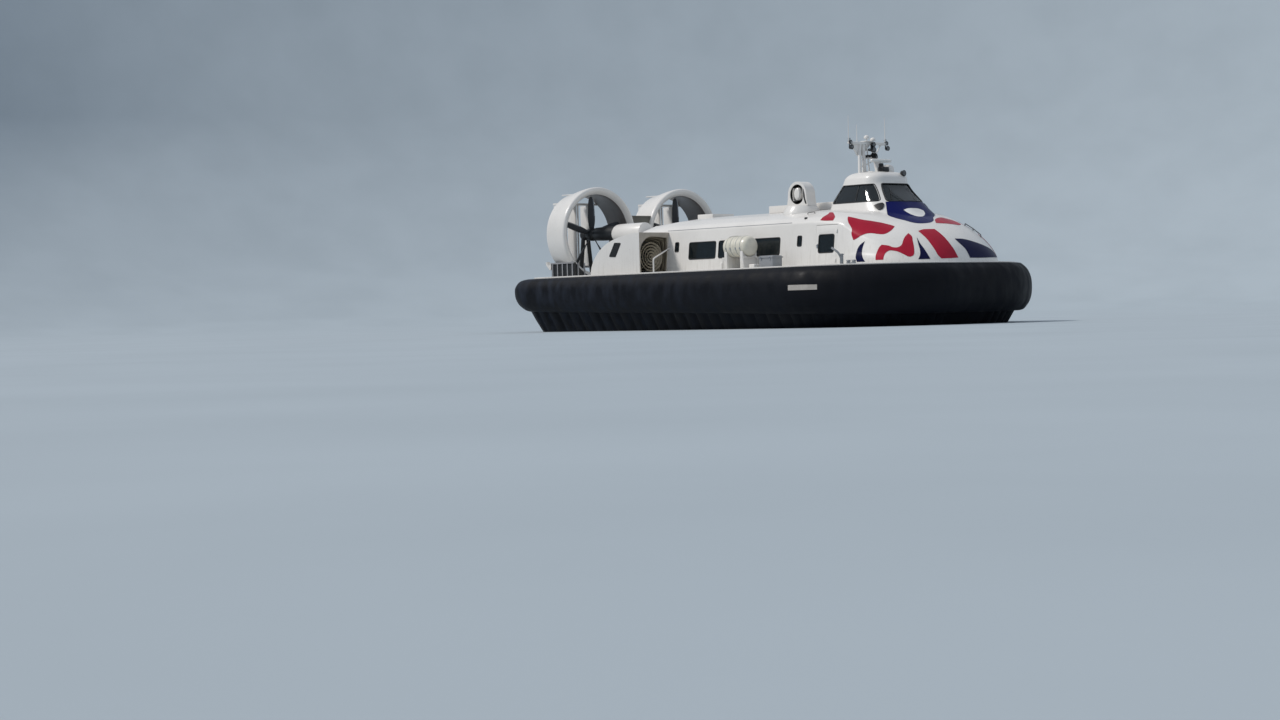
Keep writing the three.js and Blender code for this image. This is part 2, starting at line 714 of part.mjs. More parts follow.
const FAN = { x: -4050, depth: 260, radius: 690, hub: 190, vanes: 8 };
const ENGINE = { aft: -5700, fore: -4250, half: 480, height: 1050 };
for (const { name, sign } of SIDES) {
  const y = sign * INTAKE_Y;
  const outer = pushed(SIDE_PROFILE, "y", ...onSide(sign, 3300, SIDE_BODY_Y));
  const cavity = pushed(SIDE_CAVITY, "y", ...onSide(sign, CABIN_HALF + SIDE_WALL, SIDE_BODY_Y - SIDE_WALL));
  const porch = pushed(porchOutline(sign), "x", SIDE_PORCH.aft, SIDE_BODY_FORE + 100);
  const [holeAft, holeFore] = [INTAKE_WALL_X - 200, INTAKE_WALL_X + 100];
  const hole = turnedAlongX(
    [[holeAft, 0], [holeAft, INTAKE_RADIUS], [holeFore, INTAKE_RADIUS], [holeFore, 0]],
    24,
  ).translate(0, y, INTAKE_Z);
  const shell = outer.subtract(cavity).subtract(porch).subtract(hole);
  add(`side_body_${name}`, shell.add(intakeGuard(y)).subtract(inboardSeat), "white");

  const vanes = [];
  for (let i = 0; i < FAN.vanes; i++) {
    const vane = box([FAN.x, FAN.hub - 30, -18], [FAN.x + FAN.depth, FAN.radius, 18]);
    vanes.push(vane.rotate([(360 * i) / FAN.vanes, 0, 0]));
  }
  const hub = turnedAlongX(
    [
      [FAN.x, 0], [FAN.x, FAN.hub], [FAN.x + FAN.depth, FAN.hub], [FAN.x + FAN.depth + 60, 90],
      [FAN.x + FAN.depth + 60, 0],
    ],
    12,
  );
  const shaft = bar([ENGINE.fore + GAP, 0, 0], [FAN.x + 10, 0, 0], 60, 60, 10);
  const turned = union([hub, shaft, ...vanes]).translate(0, y, INTAKE_Z);
  add(`lift_fan_${name}`, turned, "dark");

  const engine = box(
    [ENGINE.aft, y - ENGINE.half, MAIN_DECK + GAP],
    [ENGINE.fore, y + ENGINE.half, MAIN_DECK + ENGINE.height],
  );
  add(`engine_${name}`, engine, "engine");
}

// Propeller ducts: section of the ring as [x, radius] from the rear of the bore round the lip
const DUCT_SECTION = [
  [DUCT_REAR, 1810],
  [-9500, 1780],
  [-9150, 1810],
  [-8990, 1890],
  [-8900, 2000],
  [-8880, 2080],
  [-8930, 2150],
  [-9060, 2165],
  [-9500, 2110],
  [DUCT_REAR, 1940],
];
const DUCT_SIDES = 36;
const TOP_FIN = { aft: -11350, fore: -10100, half: 260, low: 6330, high: 6385 };
const PLINTH = { aft: DUCT_REAR, fore: -8750, half: 1700, top: 3150 };
const BRIDGE = { aft: -9900, fore: -9020, half: 700, low: 3950, high: 5000 };

const ductRing = turnedAlongX(DUCT_SECTION, DUCT_SIDES);
// The duct as a filled disc a little larger than its outside, to cut its seats.
const SWELL = 1;
const filledOutline = [
  [DUCT_REAR - 200, 0],
  [DUCT_REAR - 200, DUCT_SECTION.at(-1)[1] + SWELL],
  ...DUCT_SECTION.slice(5).reverse().map(([x, r]) => [x, r + SWELL]),
  [-8700, 2080 + SWELL],
  [-8700, 0],
];
const ductSeat = turnedAlongX(filledOutline, DUCT_SIDES);
const boreSeat = ductRing.add(
  turnedAlongX([[-10300, 1804], [-9500, 1779.5], [-9400, 1779.5], [-9400, 2000], [-10300, 2000]], DUCT_SIDES),
);

// A blade between the hub and the tip: radius, chord, thickness, pitch angle
const BLADE_TABLE = [
  { radius: 250, chord: 230, thick: 60, pitch: 62 },
  { radius: 700, chord: 330, thick: 40, pitch: 45 },
  { radius: 1300, chord: 300, thick: 26, pitch: 31 },
  { radius: PROP_RADIUS, chord: 220, thick: 14, pitch: 24 },
];
const BLADE_SECTION = [
  [-0.5, 0.1], [-0.25, 0.5], [0.15, 0.42], [0.5, 0], [0.1, -0.4], [-0.3, -0.45],
];

function blade(turn) {
  const rings = BLADE_TABLE.map(({ radius, chord, thick, pitch }) => {
    const angle = THREE.MathUtils.degToRad(pitch);
    return BLADE_SECTION.map(([u, v]) => {
      const [along, across] = [u * chord, v * thick];
      const x = PROP_X + along * Math.sin(angle) + across * Math.cos(angle);
      const y = along * Math.cos(angle) - across * Math.sin(angle);
      return [x, y, radius];
    });
  });
  return lofted(rings).rotate([turn, 0, 0]);
}

const SHAFT = { fore: fairingAft - fairingRadius, radius: 170 };
const hubBody = turnedAlongX(
  [
    [-9700, 0], [-9700, 280], [-9400, 300], [-9280, 250], [-9200, SHAFT.radius],
    [SHAFT.fore - GAP, SHAFT.radius], [SHAFT.fore - GAP, 0],
  ],
  18,
);
const propeller = union([hubBody, ...Array.from({ length: BLADES }, (_, i) => blade((360 * i) / BLADES))]);
const PYLON = { fore: -9730, aft: -10160, radius: 250, legAt: -9960, leg: 95, foot: 1830 };
const pylon = union([
  turnedAlongX(
    [
      [PYLON.aft, 0], [PYLON.aft, 170], [PYLON.aft + 90, PYLON.radius], [PYLON.fore, PYLON.radius],
      [PYLON.fore, 90], [-9700 - GAP, 90], [-9700 - GAP, 0],
    ],
    18,
  ),
  ...[-1, 1].map((way) =>
    bar([PYLON.legAt, way * 130, -60], [PYLON.legAt, way * 330, -PYLON.foot], PYLON.leg, PYLON.leg, 10),
  ),
]).subtract(boreSeat);

// Rudders: a frame across the duct's rear rim carries three of them
const RUDDER_OFFSETS = [
  { place: "outer", y: 800 },
  { place: "middle", y: 0 },
  { place: "inner", y: -800 },
];
const RUDDER_SECTION = [
  [130, 0], [90, 38], [0, 50], [-250, 30], [-540, 5], [-540, -5], [-250, -30], [0, -50], [90, -38],
];
const RUDDER_PIN = 28;
const BEAM_DEPTH = 100;
const BEAM_AFT = -10860;
const FRAME_HALF = 1180;
const BEAM_CLEAR = CLEAR + 3;
const frameBeam = (low, high) => box([BEAM_AFT, -FRAME_HALF, low], [DUCT_REAR - GAP, FRAME_HALF, high]);
const rudderFrame = union([
  frameBeam(RUDDER_TOP + BEAM_CLEAR, RUDDER_TOP + BEAM_DEPTH),
  frameBeam(RUDDER_BOTTOM - BEAM_DEPTH, RUDDER_BOTTOM - BEAM_CLEAR),
  box([-10540, -30, RUDDER_BOTTOM - 50], [-10470, 30, RUDDER_TOP + 50]),
]);

for (const { name, sign } of SIDES) {
  const y = sign * DUCT_Y;
  const fin = box([TOP_FIN.aft, -TOP_FIN.half, TOP_FIN.low], [TOP_FIN.fore, TOP_FIN.half, TOP_FIN.high]);
  const duct = ductRing.translate(0, y, DUCT_Z).add(fin.translate(0, y, 0));
  add(`duct_${name}`, duct, "white");
  add(`propeller_${name}`, propeller.translate(0, y, DUCT_Z), "dark");
  add(`propeller_pylon_${name}`, pylon.translate(0, y, DUCT_Z), "dark");
  const [plinthLow, plinthHigh] = [
    [PLINTH.aft, y - PLINTH.half, MAIN_DECK + GAP],
    [PLINTH.fore, y + PLINTH.half, PLINTH.top],
  ];
  add(`duct_plinth_${name}`, box(plinthLow, plinthHigh).subtract(ductSeat.translate(0, y, DUCT_Z)), "dark");
  add(`rudder_frame_${name}`, rudderFrame.translate(0, y, 0), "white");
  for (const { place, y: offset } of RUDDER_OFFSETS) {
    const leaf = pushed(RUDDER_SECTION, "z", RUDDER_BOTTOM, RUDDER_TOP);
    const pin = bar([0, 0, RUDDER_BOTTOM - CLEAR - 2.7], [0, 0, RUDDER_TOP + CLEAR + 2.7], RUDDER_PIN);
    add(`rudder_${place}_${name}`, leaf.add(pin).translate(RUDDER_X, y + sign * offset, 0), "white");
  }
}
const bridge = box([BRIDGE.aft, -BRIDGE.half, BRIDGE.low], [BRIDGE.fore, BRIDGE.half, BRIDGE.high])
  .subtract(ductSeat.translate(0, DUCT_Y, DUCT_Z))
  .subtract(ductSeat.translate(0, -DUCT_Y, DUCT_Z));
add("duct_bridge", bridge, "grey");

// Bow thrusters: a round foot on the roof and a nozzle that turns on it, opening outboard
const THRUSTER = { half: 540, foot: 630, depth: 270, hub: 5600, mouth: 420, bore: 380 };
const archOutline = [[THRUSTER.foot, THRUSTER_Z], [THRUSTER.half + 15, THRUSTER_Z + 300]];
for (let i = 0; i <= 12; i++) {
  const angle = (i / 12) * Math.PI;
  archOutline.push([THRUSTER.half * Math.cos(angle), THRUSTER.hub + THRUSTER.half * Math.sin(angle)]);
}
archOutline.push([-THRUSTER.half - 15, THRUSTER_Z + 300], [-THRUSTER.foot, THRUSTER_Z]);
const roofSeat = lofted(bodyStations.map((x) => bodySection(x, -GAP)));
for (const { name, sign } of SIDES) {
  const arch = pushed(archOutline, "y", -THRUSTER.depth, THRUSTER.depth);
  const [near, far] = onSide(sign, THRUSTER.depth - THRUSTER.bore, THRUSTER.depth + 50);
  const mouth = bar([0, near, THRUSTER.hub], [0, far, THRUSTER.hub], THRUSTER.mouth, THRUSTER.mouth, 24);
  const nozzle = arch.subtract(mouth).translate(THRUSTER_X, sign * THRUSTER_Y, 0);
  add(`bow_thruster_${name}`, nozzle, "white");
  const foot = bar([0, 0, 4550], [0, 0, THRUSTER_Z - CLEAR], 930, 640, 24);
  const pin = bar([0, 0, THRUSTER_Z - 50], [0, 0, THRUSTER_Z - GAP], 200, 200, 16);
  const footAt = foot.add(pin).translate(THRUSTER_X, sign * THRUSTER_Y, 0);
  add(`thruster_foot_${name}`, footAt.subtract(roofSeat), "white");
}

// Roof housing between the thruster feet and the wheelhouse
const ROOF_HOUSING = { aft: 550, fore: 4700, half: 850, top: 5260 };
const roofHousing = box(
  [ROOF_HOUSING.aft, -ROOF_HOUSING.half, 4900],
  [ROOF_HOUSING.fore, ROOF_HOUSING.half, ROOF_HOUSING.top],
).subtract(roofSeat);
add("roof_housing", roofHousing, "white");

// Liferafts on their saddles, lockers
const RAFT_CAN = { aft: 1770, fore: 3270, y: 4450, z: 3440, radius: 450, dome: 250 };
const SADDLES = { x: [1960, 2920], length: 160 };
const LOCKER = { from: 3930, to: 4750, inner: 4180, outer: 4740, top: 3000 };
for (const { name, sign } of SIDES) {
  const { aft, fore, radius, dome } = RAFT_CAN;
  const can = turnedAlongX(
    [
      [aft, 0], [aft + 40, radius * 0.75], [aft + dome, radius], [fore - dome, radius],
      [fore - 40, radius * 0.75], [fore, 0],
    ],
    20,
  ).translate(0, sign * RAFT_CAN.y, RAFT_CAN.z);
  add(`liferaft_${name}`, can, "white");
  const seat = turnedAlongX([[aft, 0], [aft, radius + GAP], [fore, radius + GAP], [fore, 0]], 20)
    .translate(0, sign * RAFT_CAN.y, RAFT_CAN.z);
  const [y0, y1] = onSide(sign, RAFT_CAN.y - 400, RAFT_CAN.y + 400);
  const [aftSaddle, foreSaddle] = SADDLES.x;
  const saddles = SADDLES.x.map((x) =>
    box([x, y0, FORE_DECK + GAP], [x + SADDLES.length, y1, RAFT_CAN.z - 180]),
  );
  const tieEnd = foreSaddle + SADDLES.length;
  const tie = box([aftSaddle, y0 + 300, FORE_DECK + GAP], [tieEnd, y1 - 300, FORE_DECK + 90]);
  add(`liferaft_saddle_${name}`, union([...saddles, tie]).subtract(seat), "white");
  const [low, high] = onSide(sign, LOCKER.inner, LOCKER.outer);
  const locker = box([LOCKER.from, low, FORE_DECK + GAP], [LOCKER.to, high, LOCKER.top]);
  add(`deck_locker_${name}`, locker, "grey");
}

// Mast and radar on the wheelhouse roof
const ROOF_Z = WHEELHOUSE_ROOF + GAP;
const AERIALS = [
  { y: -1100, top: 8780 },
  { y: -600, top: 8420 },
  { y: 1100, top: 8780 },
];
const CROSSBAR_Z = 7650;
const CROSSBAR_X = 5700;
const MAST_FOOT = 5900;
const mast = union([
  box([MAST_FOOT - 70, -480, ROOF_Z], [MAST_FOOT + 70, 480, ROOF_Z + 60]),
  bar([MAST_FOOT, -400, ROOF_Z + 20], [CROSSBAR_X, -230, CROSSBAR_Z + 60], 90, 60, 8),
  bar([MAST_FOOT, 400, ROOF_Z + 20], [CROSSBAR_X, 230, CROSSBAR_Z + 60], 90, 60, 8),
  bar([CROSSBAR_X, -1130, CROSSBAR_Z], [CROSSBAR_X, 1130, CROSSBAR_Z], 48, 48, 8),
  bar([MAST_FOOT - 120, -330, 7030], [MAST_FOOT - 120, 330, 7030], 35, 35, 8),
  ...AERIALS.map(({ y, top }) => bar([CROSSBAR_X, y, CROSSBAR_Z], [CROSSBAR_X, y, top], 24, 10, 6)),
]);
add("mast", mast, "white");
const RADAR = { x: 6480, low: ROOF_Z, turn: 6760 };
add("radar_pedestal", bar([RADAR.x, 0, RADAR.low], [RADAR.x, 0, RADAR.turn - CLEAR], 105, 105, 12), "dark");
const scanner = union([
  box([RADAR.x - 80, -600, RADAR.turn + 60], [RADAR.x + 80, 600, RADAR.turn + 190]),
  bar([RADAR.x, 0, RADAR.turn - CLEAR + GAP], [RADAR.x, 0, RADAR.turn + 80], 60, 60, 12),
]);
add("radar_scanner", scanner, "white");

export default part;
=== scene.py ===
"""Looks for a passenger hovercraft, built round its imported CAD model. Metres, +X to the bow, +Z up."""

import math

import bmesh
import bpy
from mathutils import Matrix, Vector, geometry, noise
from mathutils.bvhtree import BVHTree


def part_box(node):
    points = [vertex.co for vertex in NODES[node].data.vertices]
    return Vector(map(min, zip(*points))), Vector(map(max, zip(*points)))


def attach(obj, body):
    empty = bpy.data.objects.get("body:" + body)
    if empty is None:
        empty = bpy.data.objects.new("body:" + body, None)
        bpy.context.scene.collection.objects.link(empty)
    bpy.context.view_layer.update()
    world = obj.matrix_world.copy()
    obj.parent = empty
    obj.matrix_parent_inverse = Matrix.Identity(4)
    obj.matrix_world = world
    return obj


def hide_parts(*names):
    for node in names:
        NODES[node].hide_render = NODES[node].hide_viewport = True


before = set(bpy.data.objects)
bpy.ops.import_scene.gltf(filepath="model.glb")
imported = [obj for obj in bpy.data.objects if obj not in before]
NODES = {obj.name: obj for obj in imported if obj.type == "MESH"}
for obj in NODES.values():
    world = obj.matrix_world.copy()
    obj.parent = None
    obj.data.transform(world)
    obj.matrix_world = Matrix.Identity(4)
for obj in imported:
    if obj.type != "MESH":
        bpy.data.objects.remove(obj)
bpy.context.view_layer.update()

bl_info = {
    "name": "Hovercraft Looks",
    "version": (1, 0, 0),
    "blender": (4, 5, 0),
    "location": "View3D > Sidebar > Hovercraft",
    "description": "Builds the visible pieces and finishes of a passenger hovercraft",
    "category": "Object",
}

SIDES = (("starboard", -1), ("port", 1))
SEAT = 0.0003  # between pieces that touch
TURN = 2 * math.pi
MAIN_DECK, FORE_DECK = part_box("fore_deck")[0].z - SEAT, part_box("fore_deck")[1].z


def linear(code):
    """A hex sRGB colour as linear red, green, blue."""
    values = [int(code[i : i + 2], 16) / 255 for i in (0, 2, 4)]
    return tuple(v / 12.92 if v <= 0.04045 else ((v + 0.055) / 1.055) ** 2.4 for v in values)


def colour_property(name, description, code):
    return bpy.props.FloatVectorProperty(
        name=name, description=description, subtype="COLOR", size=3, min=0, max=1, default=linear(code)
    )


def length_property(name, description, default):
    return bpy.props.FloatProperty(name=name, description=description, default=default, min=0, unit="LENGTH")


class HOVER_PG_sizes(bpy.types.PropertyGroup):
    """Sizes of the trim that a user would change."""

    rail_radius: length_property("Rail radius", "Radius of the boarding rails", 0.034)
    gasket_radius: length_property("Gasket radius", "Radius of the rubber round each window", 0.02)
    film_thickness: length_property("Film thickness", "Thickness of the coloured film on the bow", 0.0015)
    pane_thickness: length_property("Pane thickness", "Thickness of a window pane", 0.008)
    finger_bulge: length_property("Finger bulge", "How far a skirt finger bulges between its seams", 0.08)
    wrinkle_depth: length_property("Wrinkle depth", "Depth of the puckers in the skirt bag", 0.012)
    blade_count: bpy.props.IntProperty(
        name="Blades", description="Blades on each propeller", default=5, min=2, max=8
    )


class HOVER_PG_colours(bpy.types.PropertyGroup):
    """Colours of the finishes."""

    hull_white: colour_property("Hull white", "Gloss paint on cabin and ducts", "E8E5E1")
    crimson: colour_property("Crimson", "Red film on the bow", "AE233A")
    navy: colour_property("Navy", "Dark blue film on the bow", "121640")
    royal_blue: colour_property("Royal blue", "Blue film under the windscreen", "0D1554")
    skirt_black: colour_property("Skirt black", "Coated fabric of the skirt", "0A0C12")
    # dark grey of the bore: painted shade inside the duct
    bore_grey: colour_property("Bore grey", "Paint inside the ducts", "6C6867")
    machinery_black: colour_property("Machinery black", "Shaft housings and duct plinths", "1E2124")
    locker_grey: colour_property("Locker grey", "Moulded deck lockers", "8E9196")
    canister_cream: colour_property("Canister cream", "Liferaft canisters", "E4DFD0")
    seat_blue: colour_property("Seat blue", "Woven cover of the cabin seats", "2C4475")


def sizes():
    return bpy.context.scene.hover_sizes


# Curves and outlines


def stations(start, end, pitch):
    """Even places from start to end, about a pitch apart."""
    count = max(1, round((end - start) / pitch))
    return [start + (end - start) * k / count for k in range(count + 1)]


def spline_point(points, where, closed=False):
    """A point of the smooth curve through points of any dimension, by its place along them."""
    count = len(points)
    i = math.floor(where) if closed else min(count - 2, max(0, math.floor(where)))
    t = where - i
    near = [points[(i + k) % count if closed else min(max(i + k, 0), count - 1)] for k in (-1, 0, 1, 2)]
    return tuple(
        0.5 * (2 * q + (r - p) * t + (2 * p - 5 * q + 4 * r - s) * t**2 + (3 * q - p - 3 * r + s) * t**3)
        for p, q, r, s in zip(*near)
    )


def smooth_curve(points, cuts, closed=True):
    """The smooth curve through points, each stretch cut into as many steps."""
    steps = len(points) * cuts if closed else (len(points) - 1) * cuts + 1
    return [spline_point(points, k / cuts, closed) for k in range(steps)]


def read_smooth(table, key):
    """Reads a table of (key, value, ...) rows between them, on a curve that never overshoots."""
    keys = [row[0] for row in table]
    last = len(keys) - 1
    k = max(i for i in range(last) if i == 0 or key >= keys[i])
    width = keys[k + 1] - keys[k]
    t = min(1, max(0, (key - keys[k]) / width))

    def tangent(i, column):
        before, after = (
            (table[j + 1][column] - table[j][column]) / (keys[j + 1] - keys[j])
            for j in (max(i - 1, 0), min(i, last - 1))
        )
        return 0 if before * after <= 0 else 2 * before * after / (before + after) * width

    return [
        table[k][c] * (2 * t**3 - 3 * t**2 + 1)
        + tangent(k, c) * (t**3 - 2 * t**2 + t)
        + table[k + 1][c] * (3 * t**2 - 2 * t**3)
        + tangent(k + 1, c) * (t**3 - t**2)
        for c in range(1, len(table[0]))
    ]


def corner_curve(before, spot, after, reaches, shares):
    """Points of the round at a corner, which starts and ends at a reach along its arms."""
    start, end = (spot + (arm - spot).normalized() * reach for arm, reach in zip((before, after), reaches))
    return [start * (1 - t) ** 2 + spot * 2 * t * (1 - t) + end * t**2 for t in shares]


def arm_share(*arms):
    """The longest reach that a round may take of these arms of a corner."""
    return 0.45 * min(arm.length for arm in arms)


def rounded_outline(points, radius, cuts=5):
    """A closed outline whose corners are rounded."""
    made = []
    for i in range(len(points)):
        before, spot, after = (Vector(points[(i + k) % len(points)]) for k in (-1, 0, 1))
        half = (before - spot).angle(after - spot) / 2
        reach = min(radius / math.tan(half), arm_share(before - spot, after - spot))
        made += corner_curve(before, spot, after, (reach, reach), [k / cuts for k in range(cuts + 1)])
    return [tuple(p) for p in made]


def bent(path, radius, cuts=6):
    """A path whose corners are bent to a radius."""
    path = [Vector(p) for p in path]
    made = [path[0]]
    for before, spot, after in zip(path, path[1:], path[2:]):
        reach = min(radius, arm_share(before - spot, after - spot))
        made += corner_curve(before, spot, after, (reach, reach), [k / cuts for k in range(cuts + 1)])
    return made + [path[-1]]


def rectangle(low_u, high_u, low_v, high_v):
    return [(low_u, low_v), (high_u, low_v), (high_u, high_v), (low_u, high_v)]


def spun(profile, centre, axis, sides):
    """A profile of (along, radius) at even turns about an axis, one list of points for each turn."""
    turns = []
    for k in range(sides):
        a, b = math.cos(TURN * k / sides), math.sin(TURN * k / sides)
        offsets = [
            {"X": (along, r * a, r * b), "Y": (r * b, along, r * a), "Z": (r * a, r * b, along)}[axis]
            for along, r in profile
        ]
        turns.append([Vector(centre) + Vector(offset) for offset in offsets])
    return turns


def bar_rings(path, radius, sides, closed):
    """The rings of a round bar along a path."""
    rings = []
    up = None
    for i, point in enumerate(path):
        before = path[i - 1] if i or closed else point
        after = path[(i + 1) % len(path)] if i < len(path) - 1 or closed else point
        along = (after - before).normalized()
        if up is None:
            up = along.orthogonal()
        up = (up - along * up.dot(along)).normalized()
        side = along.cross(up)
        turns = [TURN * k / sides for k in range(sides)]
        rings.append([point + radius * (up * math.cos(t) + side * math.sin(t)) for t in turns])
    return rings


def mirrored(points):
    """The same points on the craft's other side."""
    return [Vector((p.x, -p.y, p.z)) for p in points]


# Shapes


class Shape:
    """Points, faces and face finishes of one piece while it is made."""

    def __init__(self):
        self.points, self.faces, self.finish = [], [], []
        self.bars = []  # the first point of each round bar, and its points if it is drawn to starboard

    def add(self, points, faces, finish=0):
        start = len(self.points)
        self.points.extend(Vector(p) for p in points)
        self.faces.extend([i + start for i in face] for face in faces)
        self.finish.extend([finish] * len(faces))
        return self

    def build(self, rows):
        """Adds rows of (what to add, its values)."""
        for what, *values in rows:
            getattr(self, what)(*values)
        return self

    def loft(self, rings, closed=False, caps=True, finish=0):
        """A skin through rings with equally many points."""
        count = len(rings[0])
        faces = []
        for row in range(len(rings) if closed else len(rings) - 1):
            after = (row + 1) % len(rings)
            for i in range(count):
                j = (i + 1) % count
                faces.append([row * count + i, row * count + j, after * count + j, after * count + i])
        if caps and not closed:
            faces.append(list(range(count))[::-1])
            faces.append(list(range((len(rings) - 1) * count, len(rings) * count)))
        return self.add([p for ring in rings for p in ring], faces, finish)

    def tube(self, path, radius, sides=10, closed=False, finish=0):
        """A round bar along a path."""
        path = [Vector(p) for p in path]
        twin = bar_rings(mirrored(path), radius, sides, closed)
        self.bars.append((len(self.points), [p for ring in twin for p in ring]))
        return self.loft(bar_rings(path, radius, sides, closed), closed=closed, finish=finish)

    def rail(self, path, radius):
        """A bent tube through its corners."""
        return self.tube(bent(path, 0.09), radius)

    def turned(self, profile, centre, axis="X", sides=48, finish=0):
        """A solid from a profile of (along, radius) that starts and ends on the axis."""
        return self.loft(list(zip(*spun(profile, centre, axis, sides))), finish=finish)

    def ring(self, profile, centre, axis="X", sides=72, finishes=(0,)):
        """A closed profile of (along, radius) turned clear of the axis."""
        count, start = len(profile), len(self.faces)
        self.loft(spun(profile, centre, axis, sides), closed=True)
        for n in range(start, len(self.faces)):
            self.finish[n] = finishes[(n - start) % count % len(finishes)]
        return self

    def block(self, low, high, edge=0.01, finish=0):
        """A box with rounded edges."""
        low, high = Vector(map(min, low, high)), Vector(map(max, low, high))
        bm = bmesh.new()
        bmesh.ops.create_cube(bm, size=1)
        for vert in bm.verts:
            vert.co = Vector((low[k] + high[k]) / 2 + vert.co[k] * (high[k] - low[k]) for k in range(3))
        edge = min(edge, 0.45 * min(high - low))
        bmesh.ops.bevel(bm, geom=bm.edges[:], offset=edge, segments=2, profile=0.5, affect="EDGES")
        return self.take(bm, finish)

    def cushion(self, low, high):
        """A pad with a crowned face, whose sides pull in between its corners."""
        low, size = Vector(low), Vector(high) - Vector(low)
        thin = min(range(3), key=lambda k: size[k])
        across = [k for k in range(3) if k != thin]
        bm = bmesh.new()
        bmesh.ops.create_cube(bm, size=2)
        bmesh.ops.subdivide_edges(bm, edges=bm.edges[:], cuts=4, use_grid_fill=True)
        for vert in bm.verts:
            wide = [vert.co[k] for k in across]
            vert.co[thin] *= 1 - CUSHION_CROWN * (1 - (1 - wide[0] ** 4) * (1 - wide[1] ** 4))
            for k, own, other in zip(across, wide, reversed(wide)):
                vert.co[k] *= 1 - CUSHION_WAIST * (1 - other**2) * abs(own)
            vert.co = Vector(low[k] + size[k] * (vert.co[k] + 1) / 2 for k in range(3))
        return self.take(bm)

    def plate(self, outline, axis, near, far, edge=0.0, finish=0):
        """A flat outline pushed along an axis; it reads (y, z) along X, and (x, z) along Y."""
        bm = bmesh.new()
        rings = [
            [bm.verts.new((w, u, v) if axis == "X" else (u, w, v)) for u, v in outline] for w in (near, far)
        ]
        bm.faces.new(rings[0])
        bm.faces.new(rings[1])
        for i in range(len(outline)):
            j = (i + 1) % len(outline)
            bm.faces.new([rings[0][i], rings[0][j], rings[1][j], rings[1][i]])
        if edge:
            sharp = [e for e in bm.edges if e.calc_face_angle(0) > PLATE_SHARP]
            bmesh.ops.bevel(bm, geom=sharp, offset=edge, segments=2, profile=0.5, affect="EDGES")
        return self.take(bm, finish)

    def take(self, bm, finish=0):
        bm.verts.index_update()
        self.add([v.co for v in bm.verts], [[v.index for v in f.verts] for f in bm.faces], finish)
        bm.free()
        return self

    def moved(self, matrix, start=0):
        self.points[start:] = [matrix @ p for p in self.points[start:]]
        self.bars = [bar for bar in self.bars if bar[0] < start]
        return self

    def twin(self):
        """The points of the starboard twin of a shape that is drawn to port."""
        made = mirrored(self.points)
        for first, points in self.bars:
            made[first : first + len(points)] = points
        return made

    def on(self, side):
        """Turns a shape that is drawn to port to its own side."""
        if side < 0:
            self.points = self.twin()
        return self

    def both(self):
        """Adds the starboard twin of a shape that is drawn to port."""
        twin = self.twin()
        self.faces += [[i + len(twin) for i in face] for face in self.faces]
        self.points += twin
        self.finish *= 2
        return self

    def mesh(self, name):
        mesh = bpy.data.meshes.new(name)
        mesh.from_pydata([tuple(p) for p in self.points], [], self.faces)
        mesh.polygons.foreach_set("material_index", self.finish)
        bm = bmesh.new()
        bm.from_mesh(mesh)
        bmesh.ops.remove_doubles(bm, verts=bm.verts[:], dist=1e-5)
        bmesh.ops.recalc_face_normals(bm, faces=bm.faces[:])
        bm.to_mesh(mesh)
        bm.free()
        return mesh

    def loose(self, name):
        """The shape as an object that rides on nothing yet."""
        return loose_object(name, self.mesh(name))

    def piece(self, name, finishes, body="craft", sharp=35, replaces=(), slot=None):
        """The finished piece, riding on its body."""
        return dress(self.loose(name), finishes, body, sharp, replaces)


CUSHION_CROWN, CUSHION_WAIST = 0.3, 0.05  # shares of a cushion's half size
PLATE_SHARP = math.radians(40)  # a plate's edges are rounded where they turn by more than this


def loose_object(name, mesh):
    obj = bpy.data.objects.new(name, mesh)
    bpy.context.scene.collection.objects.link(obj)
    return obj


def coat(mesh, finishes):
    """Gives a mesh its named finishes and smooth shading."""
    for name in [finishes] if isinstance(finishes, str) else finishes:
        mesh.materials.append(finish(name))
    mesh.polygons.foreach_set("use_smooth", [True] * len(mesh.polygons))


def dress(obj, finishes, body="craft", sharp=35, replaces=()):
    """Gives a new object its finishes, its sharp edges and its body."""
    coat(obj.data, finishes)
    obj.data.set_sharp_from_angle(angle=math.radians(sharp))
    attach(obj, body)
    if replaces:
        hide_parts(*replaces)
    return obj


def apply_modifiers(obj):
    bpy.context.view_layer.update()
    graph = bpy.context.evaluated_depsgraph_get()
    mesh = bpy.data.meshes.new_from_object(obj.evaluated_get(graph))
    obj.modifiers.clear()
    obj.data = mesh
    return obj


def carved(obj, *cutters):
    """Cuts closed objects out of an object and drops them."""
    for tool in cutters:
        cut = obj.modifiers.new("cut", "BOOLEAN")
        cut.operation, cut.solver, cut.object = "DIFFERENCE", "EXACT", tool
    apply_modifiers(obj)
    for tool in cutters:
        bpy.data.objects.remove(tool)
    return obj


def thickened(obj, thickness, offset):
    """A sheet given its thickness, to one side or to both."""
    skin = obj.modifiers.new("thickness", "SOLIDIFY")
    skin.thickness, skin.offset = thickness, offset
    return apply_modifiers(obj)


def bevelled(obj, width, angle=35):
    edge = obj.modifiers.new("edge", "BEVEL")
    edge.width, edge.segments, edge.limit_method = width, 2, "ANGLE"
    edge.angle_limit = math.radians(angle)
    return obj


def finish_nodes(names, finishes, edge=0.012, sharp=31):
    """Keeps CAD nodes and gives them their finish, rounded edges and smooth curves."""
    for name in names.split():
        obj = NODES[name]
        mesh = obj.data
        mesh.materials.clear()
        coat(mesh, finishes)
        if "custom_normal" in mesh.attributes:
            mesh.attributes.remove(mesh.attributes["custom_normal"])
        obj.modifiers.new("weld", "WELD").merge_threshold = 1e-4
        if edge:
            bevelled(obj, edge, sharp)
        obj.modifiers.new("sharp", "EDGE_SPLIT").split_angle = math.radians(sharp)


# Finishes


